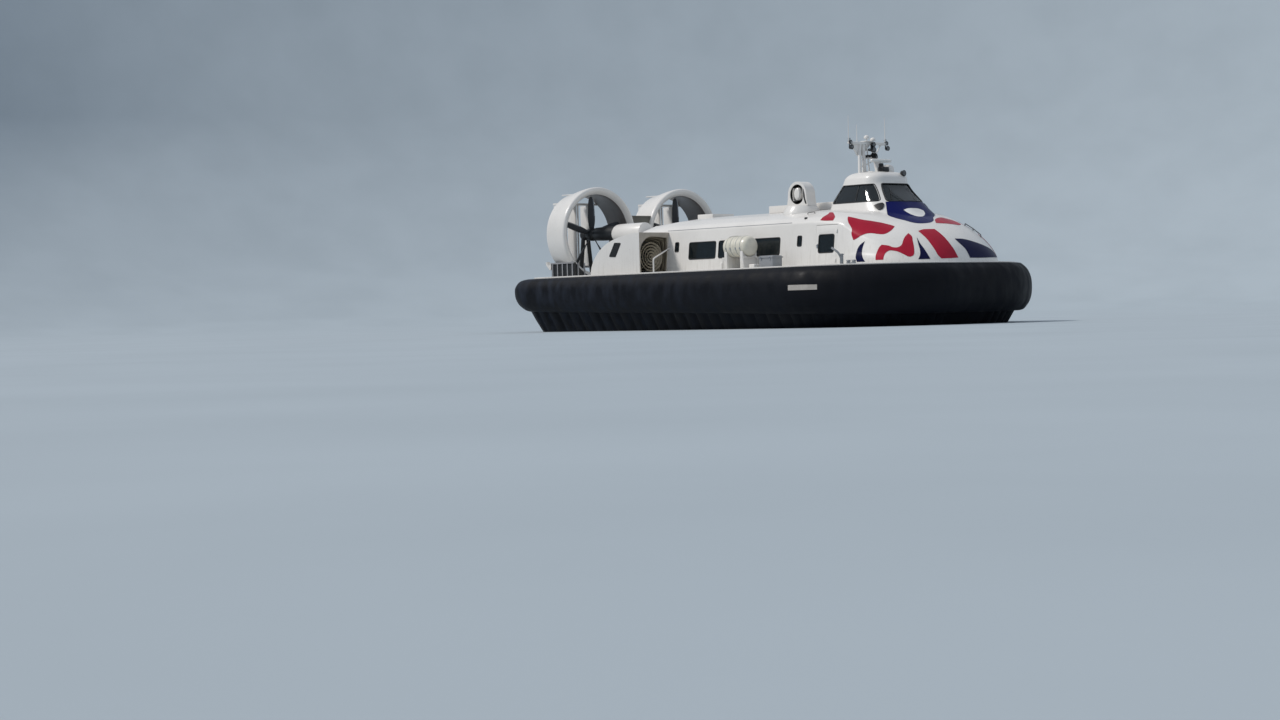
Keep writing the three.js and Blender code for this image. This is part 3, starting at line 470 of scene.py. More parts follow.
def add_node(tree, kind, links=None, **settings):
    """Adds a shader node, sets it up and joins its inputs to values or to other nodes' outputs."""
    made = tree.nodes.new(kind)
    for key, value in settings.items():
        setattr(made, key, value)
    for socket, value in (links or {}).items():
        if isinstance(value, bpy.types.NodeSocket):
            tree.links.new(value, made.inputs[socket])
        else:
            made.inputs[socket].default_value = value
    return made


def rgba(colour, factor=1.0):
    """A hex or linear colour, made darker or lighter by a factor."""
    base = linear(colour) if isinstance(colour, str) else colour
    return (*(min(1.0, c * factor) for c in base), 1.0)


def new_finish(name, **sockets):
    """A material with a Principled shader; returns the material, its tree, shader and object position."""
    material = bpy.data.materials.new(name)
    material.use_nodes = True
    tree = material.node_tree
    tree.nodes.clear()
    shader = add_node(tree, "ShaderNodeBsdfPrincipled")
    add_node(tree, "ShaderNodeOutputMaterial", {"Surface": shader.outputs["BSDF"]})
    for socket, value in sockets.items():
        shader.inputs[socket.replace("_", " ")].default_value = value
    return material, tree, shader, add_node(tree, "ShaderNodeTexCoord").outputs["Object"]


def mottled(tree, shader, place, tones, size, detail=4, stretch=(1, 1, 1)):
    """Colour that drifts between two tones in patches of a real size in metres."""
    scaled = add_node(tree, "ShaderNodeMapping", {"Vector": place, "Scale": stretch}).outputs[0]
    patches = add_node(tree, "ShaderNodeTexNoise", {"Vector": scaled, "Scale": 1 / size, "Detail": detail})
    ramp = add_node(tree, "ShaderNodeValToRGB", {"Fac": patches.outputs["Fac"]})
    for stop, at, tone in zip(ramp.color_ramp.elements, (0.35, 0.7), tones):
        stop.position, stop.color = at, tone
    tree.links.new(ramp.outputs["Color"], shader.inputs["Base Color"])
    return ramp.outputs["Color"]


def grained(tree, shader, place, size, depth, rough):
    """Fine relief of a real size and depth in metres, and roughness that follows it."""
    noisy = add_node(tree, "ShaderNodeTexNoise", {"Vector": place, "Scale": 1 / size, "Detail": 2})
    grain = noisy.outputs["Fac"]
    bump = add_node(tree, "ShaderNodeBump", {"Height": grain, "Strength": 0.6, "Distance": depth})
    # value, the range it comes from and the range it is taken to
    spread = add_node(tree, "ShaderNodeMapRange", {0: grain, 1: 0.3, 2: 0.7, 3: rough[0], 4: rough[1]})
    tree.links.new(bump.outputs["Normal"], shader.inputs["Normal"])
    tree.links.new(spread.outputs["Result"], shader.inputs["Roughness"])


def stained(tree, shader, base, stain, one, other):
    """A stain laid over the colour by the product of two amounts."""
    amount = add_node(tree, "ShaderNodeMath", {0: one.outputs[0], 1: other.outputs[0]}, operation="MULTIPLY")
    mix = add_node(tree, "ShaderNodeMix", {0: amount.outputs[0], 6: base, 7: rgba(stain)}, data_type="RGBA")
    tree.links.new(mix.outputs[2], shader.inputs["Base Color"])


def surface(name, colour, shade, patch, grain, rough, detail=4, **sockets):
    """A finish that drifts to a shade of its colour in patches, with a grain of (size, depth); in metres."""
    material, tree, shader, place = new_finish(name, **sockets)
    other = rgba(shade) if isinstance(shade, str) else rgba(colour, shade)
    base = mottled(tree, shader, place, (rgba(colour), other), patch, detail)
    grained(tree, shader, place, *grain, rough)
    return tree, shader, place, base


def sprayed_paint(name, colour, **values):
    """Gloss paint with salt streaks, and with grime near the deck."""
    tree, shader, place, base = surface(name, colour, **values)
    # 12 mm wide streaks that run down for 0.6 m
    down = add_node(tree, "ShaderNodeMapping", {"Vector": place, "Scale": (14, 14, 0.9)}).outputs[0]
    streaks = add_node(tree, "ShaderNodeTexNoise", {"Vector": down, "Scale": 1.0, "Detail": 5}).outputs["Fac"]
    height = add_node(tree, "ShaderNodeSeparateXYZ", {"Vector": place}).outputs["Z"]
    low = add_node(
        tree, "ShaderNodeMapRange", {0: height, 1: FORE_DECK - 0.3, 2: FORE_DECK + 1.3, 3: 1.0, 4: 0.12}
    )
    worn = add_node(tree, "ShaderNodeMapRange", {0: streaks, 1: 0.52, 2: 0.78, 3: 0.0, 4: 0.35})
    stained(tree, shader, base, "8F8674", worn, low)


def skirt_fabric(name, colour, **sockets):
    """Woven relief under soft creases, with salt that builds up towards the stern; the paler stern is also
    painted light, from the light that falls from aft.
    """
    material, tree, shader, place = new_finish(name, **sockets)
    base = mottled(tree, shader, place, (rgba(colour), rgba(colour, 1.5)), 1.8, stretch=(0.45, 0.45, 1.3))
    along = add_node(tree, "ShaderNodeSeparateXYZ", {"Vector": place}).outputs["X"]
    # the stain grows towards the stern: salt, and painted light, as the light falls from aft and leaves the
    # bow in shade
    aft = add_node(tree, "ShaderNodeMapRange", {0: along, 1: 7.5, 2: -9.0, 3: 0.05, 4: 0.7})
    runs = add_node(tree, "ShaderNodeMapping", {"Vector": place, "Scale": (2.2, 2.2, 0.9)}).outputs[0]
    salt = add_node(tree, "ShaderNodeTexNoise", {"Vector": runs, "Scale": 1.0, "Detail": 8}).outputs["Fac"]
    bloom = add_node(tree, "ShaderNodeMapRange", {0: salt, 1: 0.42, 2: 0.75, 3: 0.0, 4: 1.0})
    stained(tree, shader, base, "343A46", aft, bloom)
    # the weave is 1.5 mm; it is drawn at 14 mm, which is the finest that shows at this distance
    thread = {"Vector": place, "Scale": 1 / 0.014 / 6.28, "Distortion": 0.4}
    weave = [add_node(tree, "ShaderNodeTexWave", thread, bands_direction=way).outputs["Fac"] for way in "XZ"]
    crossed = add_node(tree, "ShaderNodeMath", dict(enumerate(weave)), operation="MULTIPLY").outputs[0]
    soft = add_node(tree, "ShaderNodeTexNoise", {"Vector": place, "Scale": 2.2, "Detail": 3}).outputs["Fac"]
    relief = add_node(tree, "ShaderNodeBump", {"Height": soft, "Strength": 0.5, "Distance": 0.03}).outputs[0]
    bump = add_node(
        tree, "ShaderNodeBump", {"Height": crossed, "Strength": 0.35, "Distance": 0.0015, "Normal": relief}
    )
    tree.links.new(bump.outputs["Normal"], shader.inputs["Normal"])
    rough = add_node(tree, "ShaderNodeMapRange", {0: salt, 1: 0.3, 2: 0.7, 3: 0.42, 4: 0.72})
    tree.links.new(rough.outputs[0], shader.inputs["Roughness"])


# Values that finishes made in the same way share; patch and grain are real sizes, and a grain has a depth
SPRAYED = {"shade": 0.93, "patch": 1.6, "grain": (0.055, 0.0006), "Coat_Weight": 0.25, "Coat_Roughness": 0.12}
ROLLED = {"shade": 0.8, "patch": 0.5, "grain": (0.02, 0.0006), "rough": (0.4, 0.58), "IOR": 1.5}
INTAKE = {**ROLLED, "patch": 0.3, "rough": (0.45, 0.65)}
FILM = {"shade": 0.82, "patch": 0.9, "detail": 3, "grain": (0.08, 0.0008), "rough": (0.3, 0.42), "IOR": 1.46}
FILM["Specular_IOR_Level"] = 0.13
GLASS = {"shade": 0.8, "patch": 0.8, "grain": (0.35, 0.0012), "Transmission_Weight": 0.85, "IOR": 1.52}
METAL = {"shade": 0.75, "patch": 0.4, "grain": (0.03, 0.0004), "Metallic": 1.0}
WOVEN = {"shade": 1.5, "patch": 0.03, "detail": 2, "grain": (0.006, 0.001), "rough": (0.8, 0.95)}
WOVEN.update(Sheen_Weight=0.5, Sheen_Roughness=0.5)
MOULDED = {"shade": 0.85, "patch": 0.3, "detail": 5, "grain": (0.05, 0.0008), "rough": (0.35, 0.55)}
MOULDED.update(IOR=1.5, Coat_Roughness=0.1)

# Each finish: how it is made, its colour (a colour property or a hex code) and its values
FINISHES = {
    # two-pack gloss sprayed on aluminium plate: a faint ripple, salt streaks and grime near the deck
    "gloss_white_paint": (sprayed_paint, "hull_white", {**SPRAYED, "rough": (0.26, 0.4), "IOR": 1.5}),
    # rolled paint: small drifts of tone and a light texture
    # the bore's dark grey is painted shade that stands for the shade inside the duct
    "bore_grey_paint": (surface, "bore_grey", {**ROLLED, "rough": (0.3, 0.45)}),
    "light_grey_paint": (surface, "9B9CA0", ROLLED),
    "bridge_brown_paint": (surface, "6D6A62", ROLLED),
    # brushed machinery paint, rubbed paler where it is touched
    "machinery_black_paint": (surface, "machinery_black", {**ROLLED, "shade": 1.6, "rough": (0.35, 0.55)}),
    # hard enamel on castings: a thin film with a dull shine
    "engine_enamel": (surface, "3C4A45", {**ROLLED, "rough": (0.3, 0.5), "Metallic": 0.1}),
    # matt paint in the intakes, dulled by spray; the brown and the dark brown are also painted shade of the
    # recess, the dark brown a shaded copy of the brown
    "rim_beige_paint": (surface, "B5ACA0", {**INTAKE, "rough": (0.45, 0.6)}),
    "slat_tan_paint": (surface, "968C79", INTAKE),
    "intake_brown_paint": (surface, "857B68", INTAKE),
    "intake_dark_paint": (surface, "5A5242", INTAKE),
    # nylon coated with chloroprene rubber, calendered and lapped: matt, with salt bloom that grows towards
    # the stern, partly painted light
    "coated_skirt_fabric": (skirt_fabric, "skirt_black", {"IOR": 1.45, "Specular_IOR_Level": 0.16}),
    # cast vinyl, printed and laid on the paint: even colour under a laminate
    "crimson_film": (surface, "crimson", FILM),
    "navy_film": (surface, "navy", FILM),
    "royal_blue_film": (surface, "royal_blue", FILM),
    "white_film": (surface, "F2F1EE", FILM),
    # toughened glass with a grey-green tint: clear reflections of the sky and a little salt haze
    "tinted_glass": (surface, "46535A", {**GLASS, "rough": (0.02, 0.1)}),
    # clear moulded lenses
    "lamp_lens": (surface, "D8DDE0", {**GLASS, "rough": (0.02, 0.05)}),
    # extruded EPDM: near black, dull, with a little dust
    "gasket_rubber": (
        surface,
        "16171A",
        {"shade": "2C2D30", "patch": 0.25, "grain": (0.008, 0.0004), "rough": (0.55, 0.75), "IOR": 1.5},
    ),
    # drawn and polished tube, mill sheet and a plated edge: streaky gloss after some weather
    "stainless_tube": (surface, "C8C9CC", {**METAL, "rough": (0.18, 0.35)}),
    "mill_aluminium": (surface, "A9ACB0", {**METAL, "rough": (0.38, 0.58)}),
    "nickel_sheath": (surface, "8F949A", {**METAL, "rough": (0.2, 0.36)}),
    # grit rolled into the paint: pale, rough underfoot, with scuffs; the 1 mm grit is drawn at 9 mm to show
    "gritted_deck_paint": (
        surface,
        "DCDCD8",
        {**ROLLED, "patch": 0.7, "detail": 8, "grain": (0.009, 0.0012), "rough": (0.6, 0.85)},
    ),
    # wool moquette, needled felt and canvas tape: a short pile with a soft sheen
    "seat_moquette": (surface, "seat_blue", WOVEN),
    "headliner_felt": (surface, "4B4D50", WOVEN),
    "canvas_webbing": (surface, "9A9A94", WOVEN),
    # plastic and glass fibre out of a mould: smooth, slightly wavy, dusty in the hollows
    "locker_moulding": (surface, "locker_grey", {**MOULDED, "rough": (0.4, 0.6)}),
    "canister_gelcoat": (surface, "canister_cream", {**MOULDED, "rough": (0.3, 0.45), "Coat_Weight": 0.4}),
    "black_moulding": (surface, "17181B", MOULDED),
    "white_moulding": (surface, "E9E8E4", {**MOULDED, "rough": (0.3, 0.45), "Coat_Weight": 0.3}),
    # laminated blade: close-grained and half gloss
    "blade_composite": (surface, "20262A", {**MOULDED, "rough": (0.28, 0.4), "Coat_Weight": 0.2}),
    # a pale strip on the bag: painted highlight, for the glint of sun on the wet rubber
    "retroreflective_tape": (surface, "BDB6AE", {**MOULDED, "rough": (0.2, 0.3), "Coat_Weight": 0.3}),
}


def finish(name):
    """The named finish, made when it is first asked for."""
    if name not in bpy.data.materials:
        make, colour, values = FINISHES[name]
        make(name, getattr(bpy.context.scene.hover_colours, colour, colour), **values)
    return bpy.data.materials[name]


# Skirt


def plan_outline(plan, steps, grow=0.0):
    """Points round a plan (fore, aft, half, bow radius, stern radius), with steps for its five kinds of run:
    starboard quarter, side, bow, front, side, port quarter and back."""
    fore, aft, half, bow, stern = (v + way * grow for v, way in zip(plan, (1, -1, 1, 1, 1)))
    quarter, along, round_bow, front, back = steps
    made = []

    def arc(x, y, radius, first, count):
        for k in range(count + 1):
            angle = first + k / count * TURN / 4
            made.append(Vector((x + radius * math.cos(angle), y + radius * math.sin(angle))))

    def straight(start, end, count):
        made.extend(Vector(start).lerp(Vector(end), k / count) for k in range(1, count))

    arc(aft + stern, stern - half, stern, TURN / 2, quarter)
    straight((aft + stern, -half), (fore - bow, -half), along)
    arc(fore - bow, bow - half, bow, -TURN / 4, round_bow)
    straight((fore, bow - half), (fore, half - bow), front)
    arc(fore - bow, half - bow, bow, 0, round_bow)
    straight((fore - bow, half), (aft + stern, half), along)
    arc(aft + stern, half - stern, stern, TURN / 4, quarter)
    straight((aft, half - stern), (aft, stern - half), back)
    return made


# Plans of the bag, the raft, and the root and hem of the fingers, as plan_outline reads them
OUTER_PLAN = (11.85, -11.85, 6.4, 5.15, 2.0)
RAFT_PLAN = (11.25, -10.7, 5.8, 4.6, 1.3)
FINGER_ROOT = (11.4, -10.85, 5.95, 4.75, 1.3)
FINGER_HEM = (10.75, -10.25, 5.35, 4.15, 0.8)
HALF_LENGTH = OUTER_PLAN[0]


def fore_share(x):
    """The share of the way from the stern to the bow."""
    return (x + HALF_LENGTH) / (2 * HALF_LENGTH)


# Section of the inflated bag: share of the way out from the raft's side, height at the stern and at the bow
BAG_SECTION = (
    (0.0, 2.3, 2.44),
    (0.18, 2.4, 2.47),
    (0.35, 2.42, 2.43),
    (0.72, 2.33, 2.2),
    (0.95, 2.09, 1.85),
    (1.0, 1.83, 1.46),
    (0.93, 1.5, 1.06),
    (0.68, 1.18, 0.72),
    (0.2, 0.96, 0.48),
    (-0.9, 0.96, 0.62),
)
BAG_INNER = ((-1.1, 1.1497), (0.0, 1.1497))  # its inner wall: share of the way out, height
BAG_STEPS = (18, 96, 72, 6, 60)  # as plan_outline reads them
PANEL_LENGTH, SEAM_WIDTH = 1.35, 0.05  # of the cloth between two lapped seams, and of the pinch at one
SWELL_PITCH, CREASE_PITCH = (0.9, 0.9, 0.45), (3.1, 3.1, 0.7)  # cycles in a metre
SWELL, CREASE, PINCH = 1.2, 0.5, 0.6  # in depths of a wrinkle


def bag():
    """The inflated bag: puckered between the lapped seams of its panels."""
    outer, seat = plan_outline(OUTER_PLAN, BAG_STEPS), plan_outline(RAFT_PLAN, BAG_STEPS, SEAT)
    section = smooth_curve(BAG_SECTION, 5, closed=False)
    depth = sizes().wrinkle_depth
    rings, run = [], 0.0
    for i, (far, near) in enumerate(zip(outer, seat)):
        run += (far - outer[i - 1]).length if i else 0
        share = fore_share(far.x)
        to_seam = PANEL_LENGTH * (0.5 - abs((run / PANEL_LENGTH) % 1 - 0.5))
        pinch = -PINCH * depth * math.exp(-((to_seam / SEAM_WIDTH) ** 2))
        ring = []
        for out, stern, bow in section:
            height = stern + share * (bow - stern)
            spot = near + out * (far - near)
            swell, crease = (
                noise.noise(Vector((spot.x * a, spot.y * b, height * c)))
                for a, b, c in (SWELL_PITCH, CREASE_PITCH)
            )
            move = max(0.0, min(1.0, out * 2)) * (depth * (SWELL * swell + CREASE * crease) + pinch)
            spot = spot + (far - near).normalized() * move
            ring.append((spot.x, spot.y, height))
        ring += [(*(near + out * (far - near)), height) for out, height in BAG_INNER]
        rings.append(ring)
    return Shape().loft(rings, closed=True)


FINGER_STEPS = (6, 46, 26, 2, 28)
FINGER_CUTS, FINGER_LEVELS = 4, 8  # points for each half finger, and rows down it
FINGER_TOP, FINGER_DEPTH, HEM_THICKNESS, HEM_SLACK = 1.1492, 1.3, 0.11, 0.012
FINGER_FULLNESS, FINGER_TAPER = 0.7, 0.25  # how square a bulge is, and what it loses towards its ends


def fingers():
    """The ring of fingers: each one bulges between its seams and hangs a little slack at the hem."""
    walls = ((FINGER_ROOT, 0), (FINGER_HEM, 0), (FINGER_ROOT, -FINGER_DEPTH), (FINGER_HEM, -HEM_THICKNESS))
    rows = [smooth_curve(plan_outline(plan, FINGER_STEPS, grow), FINGER_CUTS) for plan, grow in walls]
    count = len(rows[0])
    rings = []
    for i in range(count):
        root, hem, root_back, hem_back = (Vector(row[i]) for row in rows)
        along = (Vector(rows[0][(i + 1) % count]) - Vector(rows[0][i - 1])).normalized()
        outward = Vector((along.y, -along.x))
        which, point = divmod(i, 2 * FINGER_CUTS)
        full = sizes().finger_bulge * math.sin(TURN / 4 * point / FINGER_CUTS) ** FINGER_FULLNESS
        loose = HEM_SLACK * noise.noise(Vector((which * 3.7, 0.2, 0.5)))
        ring = []
        for s in stations(0, 1, 1 / FINGER_LEVELS):
            spot = root.lerp(hem, s) + outward * (full * (1 - FINGER_TAPER * abs(2 * s - 1)) + loose * s)
            ring.append((*spot, FINGER_TOP * (1 - s)))
        rings.append([*ring, (*hem_back, 0.0), (*root_back, FINGER_TOP)])
    return Shape().loft(rings, closed=True)


# Cabin and nose


# x, roof height, and how round the section is
BODY_TABLE = (
    (-3.3, 5.1, 0.0),
    (5.6, 5.1, 0.0),
    (7.3, 4.96, 0.0),
    (8.0, 4.8, 0.3),
    (8.8, 4.51, 0.55),
    (9.5, 4.23, 0.75),
    (10.1, 3.91, 0.9),
    (10.6, 3.53, 1.0),
    (10.95, 3.11, 1.0),
    (11.1, 2.78, 1.0),
    (11.2, 2.5, 1.0),
)
# Plan of the nose: where it starts to round, its tip, its joint with the cabin, and how full the round is
CURVE_FROM, NOSE_TIP, NOSE_JOINT, FULLNESS = 7.3, 11.2, 7.6, 2.7
CABIN_HALF, CABIN_WALL, CABIN_AFT = 3.65, 0.07, -3.3

# Shares of the half width and of the height over the deck, creased and round
SECTION_TABLE = (
    ((1.0, 0.0), (1.0, 0.0)),
    ((0.987, 0.25), (0.97, 0.25)),
    ((0.945, 0.73), (0.86, 0.51)),
    ((0.88, 0.8), (0.7, 0.72)),
    ((0.7, 0.88), (0.5, 0.87)),
    ((0.4, 0.925), (0.25, 0.97)),
    ((0.15, 0.955), (0.08, 1.0)),
)
CREASE_REACH = 0.09  # how far a crease is rounded along its arms
CORNER_STEPS = (-0.4, -0.2, 0.0, 0.2, 0.4)  # points at a corner, in shares of the way to the next one


def half_width(x):
    share = min(1.0, max(0.0, x - CURVE_FROM) / (NOSE_TIP + 0.06 - CURVE_FROM))
    return CABIN_HALF * (1 - share**FULLNESS) ** (1 / FULLNESS)


def half_section(x, inset=0.0):
    """The skin at x as points (y, z) from the deck up, set in by a wall."""
    roof, roundness = read_smooth(BODY_TABLE, x)
    half, height = half_width(x) - inset, roof - inset - MAIN_DECK
    creased, oval = (
        [Vector((half * a, MAIN_DECK + height * b)) for a, b in column] for column in zip(*SECTION_TABLE)
    )
    made = [creased[0]]
    for i in range(1, len(creased) - 1):
        arms = creased[i - 1], creased[i], creased[i + 1]
        reaches = [min(CREASE_REACH, arm_share(arm - creased[i])) for arm in arms[::2]]
        sharp = corner_curve(*arms, reaches, [(step + 0.4) / 0.8 for step in CORNER_STEPS])
        soft = [Vector(spline_point(oval, i + step)) for step in CORNER_STEPS]
        made += [a.lerp(b, roundness) for a, b in zip(sharp, soft)]
    return made + [creased[-1].lerp(oval[-1], roundness)]


def skin_y(x, z):
    """How far out the skin is at x and z."""
    section = half_section(x)
    for low, high in zip(section, section[1:]):
        if low.y <= z <= high.y:
            return low.x + (high.x - low.x) * (z - low.y) / (high.y - low.y)
    return section[0].x


def on_wall(outline, inset=0.0):
    """An outline (x, z) laid on the port wall, set in from the skin."""
    return [(x, skin_y(x, z) - inset, z) for x, z in outline]


def body_ring(x, inset, foot):
    """A closed ring of the body's skin at x, down to a foot height."""
    half = half_section(x, inset)
    half[0] = Vector((half[0].x, foot))
    return [(x, -p.x, p.y) for p in half] + [(x, p.x, p.y) for p in reversed(half)]


CABIN_STATIONS = stations(CABIN_AFT, 5.6, 0.445) + stations(5.9, 7.3, 0.35) + [7.45, NOSE_JOINT]
CABIN_INNER = (CABIN_AFT + CABIN_WALL, 5.6, 7.3, 7.45, NOSE_JOINT + 0.1)
NOSE_STATIONS = stations(NOSE_JOINT + SEAT, 10.6, 0.1) + stations(10.65, 11.1, 0.05)
NOSE_STATIONS += [11.13, 11.16, 11.18, 11.2]
NOSE_INNER = [NOSE_JOINT - 0.1] + [x for x in NOSE_STATIONS if 7.65 < x < 11.12]

# x range and z range of each opening in the side wall
WINDOWS = (
    (-2.62, -2.39, 3.4, 3.8),
    (-1.69, 0.01, 3.04, 3.76),
    (0.21, 1.91, 3.04, 3.76),
    (2.27, 3.97, 3.04, 3.76),
    (5.01, 5.25, 3.36, 3.77),
)
DOOR = (6.08, 7.27, 2.5, 4.16)
DOOR_WINDOW = (6.25, 7.11, 3.04, 3.77)
DOOR_GAP, DOOR_RISE = 0.005, 0.012  # round the door, and more over it
WINDOW_CORNER = 0.09


def window_outline(window, grow):
    low_x, high_x, low_z, high_z = window
    corner = min(WINDOW_CORNER, (high_x - low_x) / 4) + grow
    return rounded_outline(rectangle(low_x - grow, high_x + grow, low_z - grow, high_z + grow), corner)


def side_cutter(outline, side):
    """What an opening (x, z) takes out of one side wall."""
    return Shape().plate(outline, "Y", side * 3.0, side * 3.9).loose("opening")


FORE_DECK_BOX = (-1.7 - SEAT, -6.4, 0), (11.85, 6.4, FORE_DECK + SEAT)


def upper_body(name, rows, inner_rows):
    """A length of the cabin or nose: outer skin less the space inside, the deck and the wheelhouse."""
    obj = Shape().loft([body_ring(x, 0, MAIN_DECK + SEAT) for x in rows]).loose(name)
    inside = Shape().loft([body_ring(x, CABIN_WALL, MAIN_DECK - 0.1) for x in inner_rows]).loose("inside")
    carved(obj, inside, Shape().block(*FORE_DECK_BOX, edge=0).loose("deck"))
    under = Shape().plate([(u, v - SEAT) for u, v in UNDERSIDE], "Y", -2.5, 2.5).loose("under")
    seat = wheelhouse_volume(WHEELHOUSE_FOOT, WHEELHOUSE_TOP, -SEAT, 6).loose("wheelhouse_seat")
    return carved(obj, carved(seat, under))


# Wheelhouse


# height, aft end, fore end, half width, radius of the fore corners, radius of the aft corners
WHEELHOUSE_TABLE = (
    (4.0, 4.55, 9.55, 1.82, 1.78, 0.6),
    (4.44, 4.62, 8.9, 1.72, 1.6, 0.6),
    (5.08, 4.78, 8.09, 1.51, 1.26, 0.48),
    (5.88, 5.2, 7.29, 1.22, 0.74, 0.38),
    (6.16, 5.3, 7.19, 1.13, 0.58, 0.34),
    (6.33, 5.48, 7.02, 0.96, 0.44, 0.3),
    (6.4, 5.7, 6.76, 0.72, 0.35, 0.23),
)
HEAD_ROOM = Vector((6.3, 0, 5.5))  # a point inside; faces that look towards it take the lining
# Underside, side lights and end lights: (x, z) from the side, (y, z) from an end
UNDERSIDE = ((4.0, 4.44), (7.7, 4.44), (8.9, 4.15), (9.7, 4.0), (9.7, 3.9), (4.0, 3.9))
SIDE_LIGHT = ((5.03, 5.13), (7.55, 5.13), (7.03, 5.84), (5.46, 5.84))
WINDSCREEN = ((-1.05, 5.11), (1.05, 5.11), (0.77, 5.85), (-0.77, 5.85))
REAR_LIGHT = ((-0.9, 5.23), (0.9, 5.23), (0.76, 5.8), (-0.76, 5.8))
WHEELHOUSE_WALL = 0.06
WHEELHOUSE_FOOT, WHEELHOUSE_TOP = WHEELHOUSE_TABLE[0][0], WHEELHOUSE_TABLE[-1][0]


def wheelhouse_ring(z, wall, cuts):
    aft, fore, half, fore_corner, aft_corner = read_smooth(WHEELHOUSE_TABLE, z)
    corners = (
        (fore - fore_corner, fore_corner - half, fore_corner - wall, -90, cuts),
        (fore - fore_corner, half - fore_corner, fore_corner - wall, 0, cuts),
        (aft + aft_corner, half - aft_corner, aft_corner - wall, 90, cuts // 2),
        (aft + aft_corner, aft_corner - half, aft_corner - wall, 180, cuts // 2),
    )
    ring = []
    for x, y, radius, first, count in corners:
        for k in range(count + 1):
            angle = math.radians(first + 90 * k / count)
            ring.append((x + radius * math.cos(angle), y + radius * math.sin(angle), z))
    return ring


def wheelhouse_volume(low, high, wall, cuts=12):
    """The wheelhouse between two heights, set in by a wall."""
    levels = [z for z in stations(4.0, 6.1, 0.07) + stations(6.13, 6.4, 0.03) if low < z < high]
    return Shape().loft([wheelhouse_ring(z, wall, cuts) for z in (low, *levels, high)])


# Films on the bow


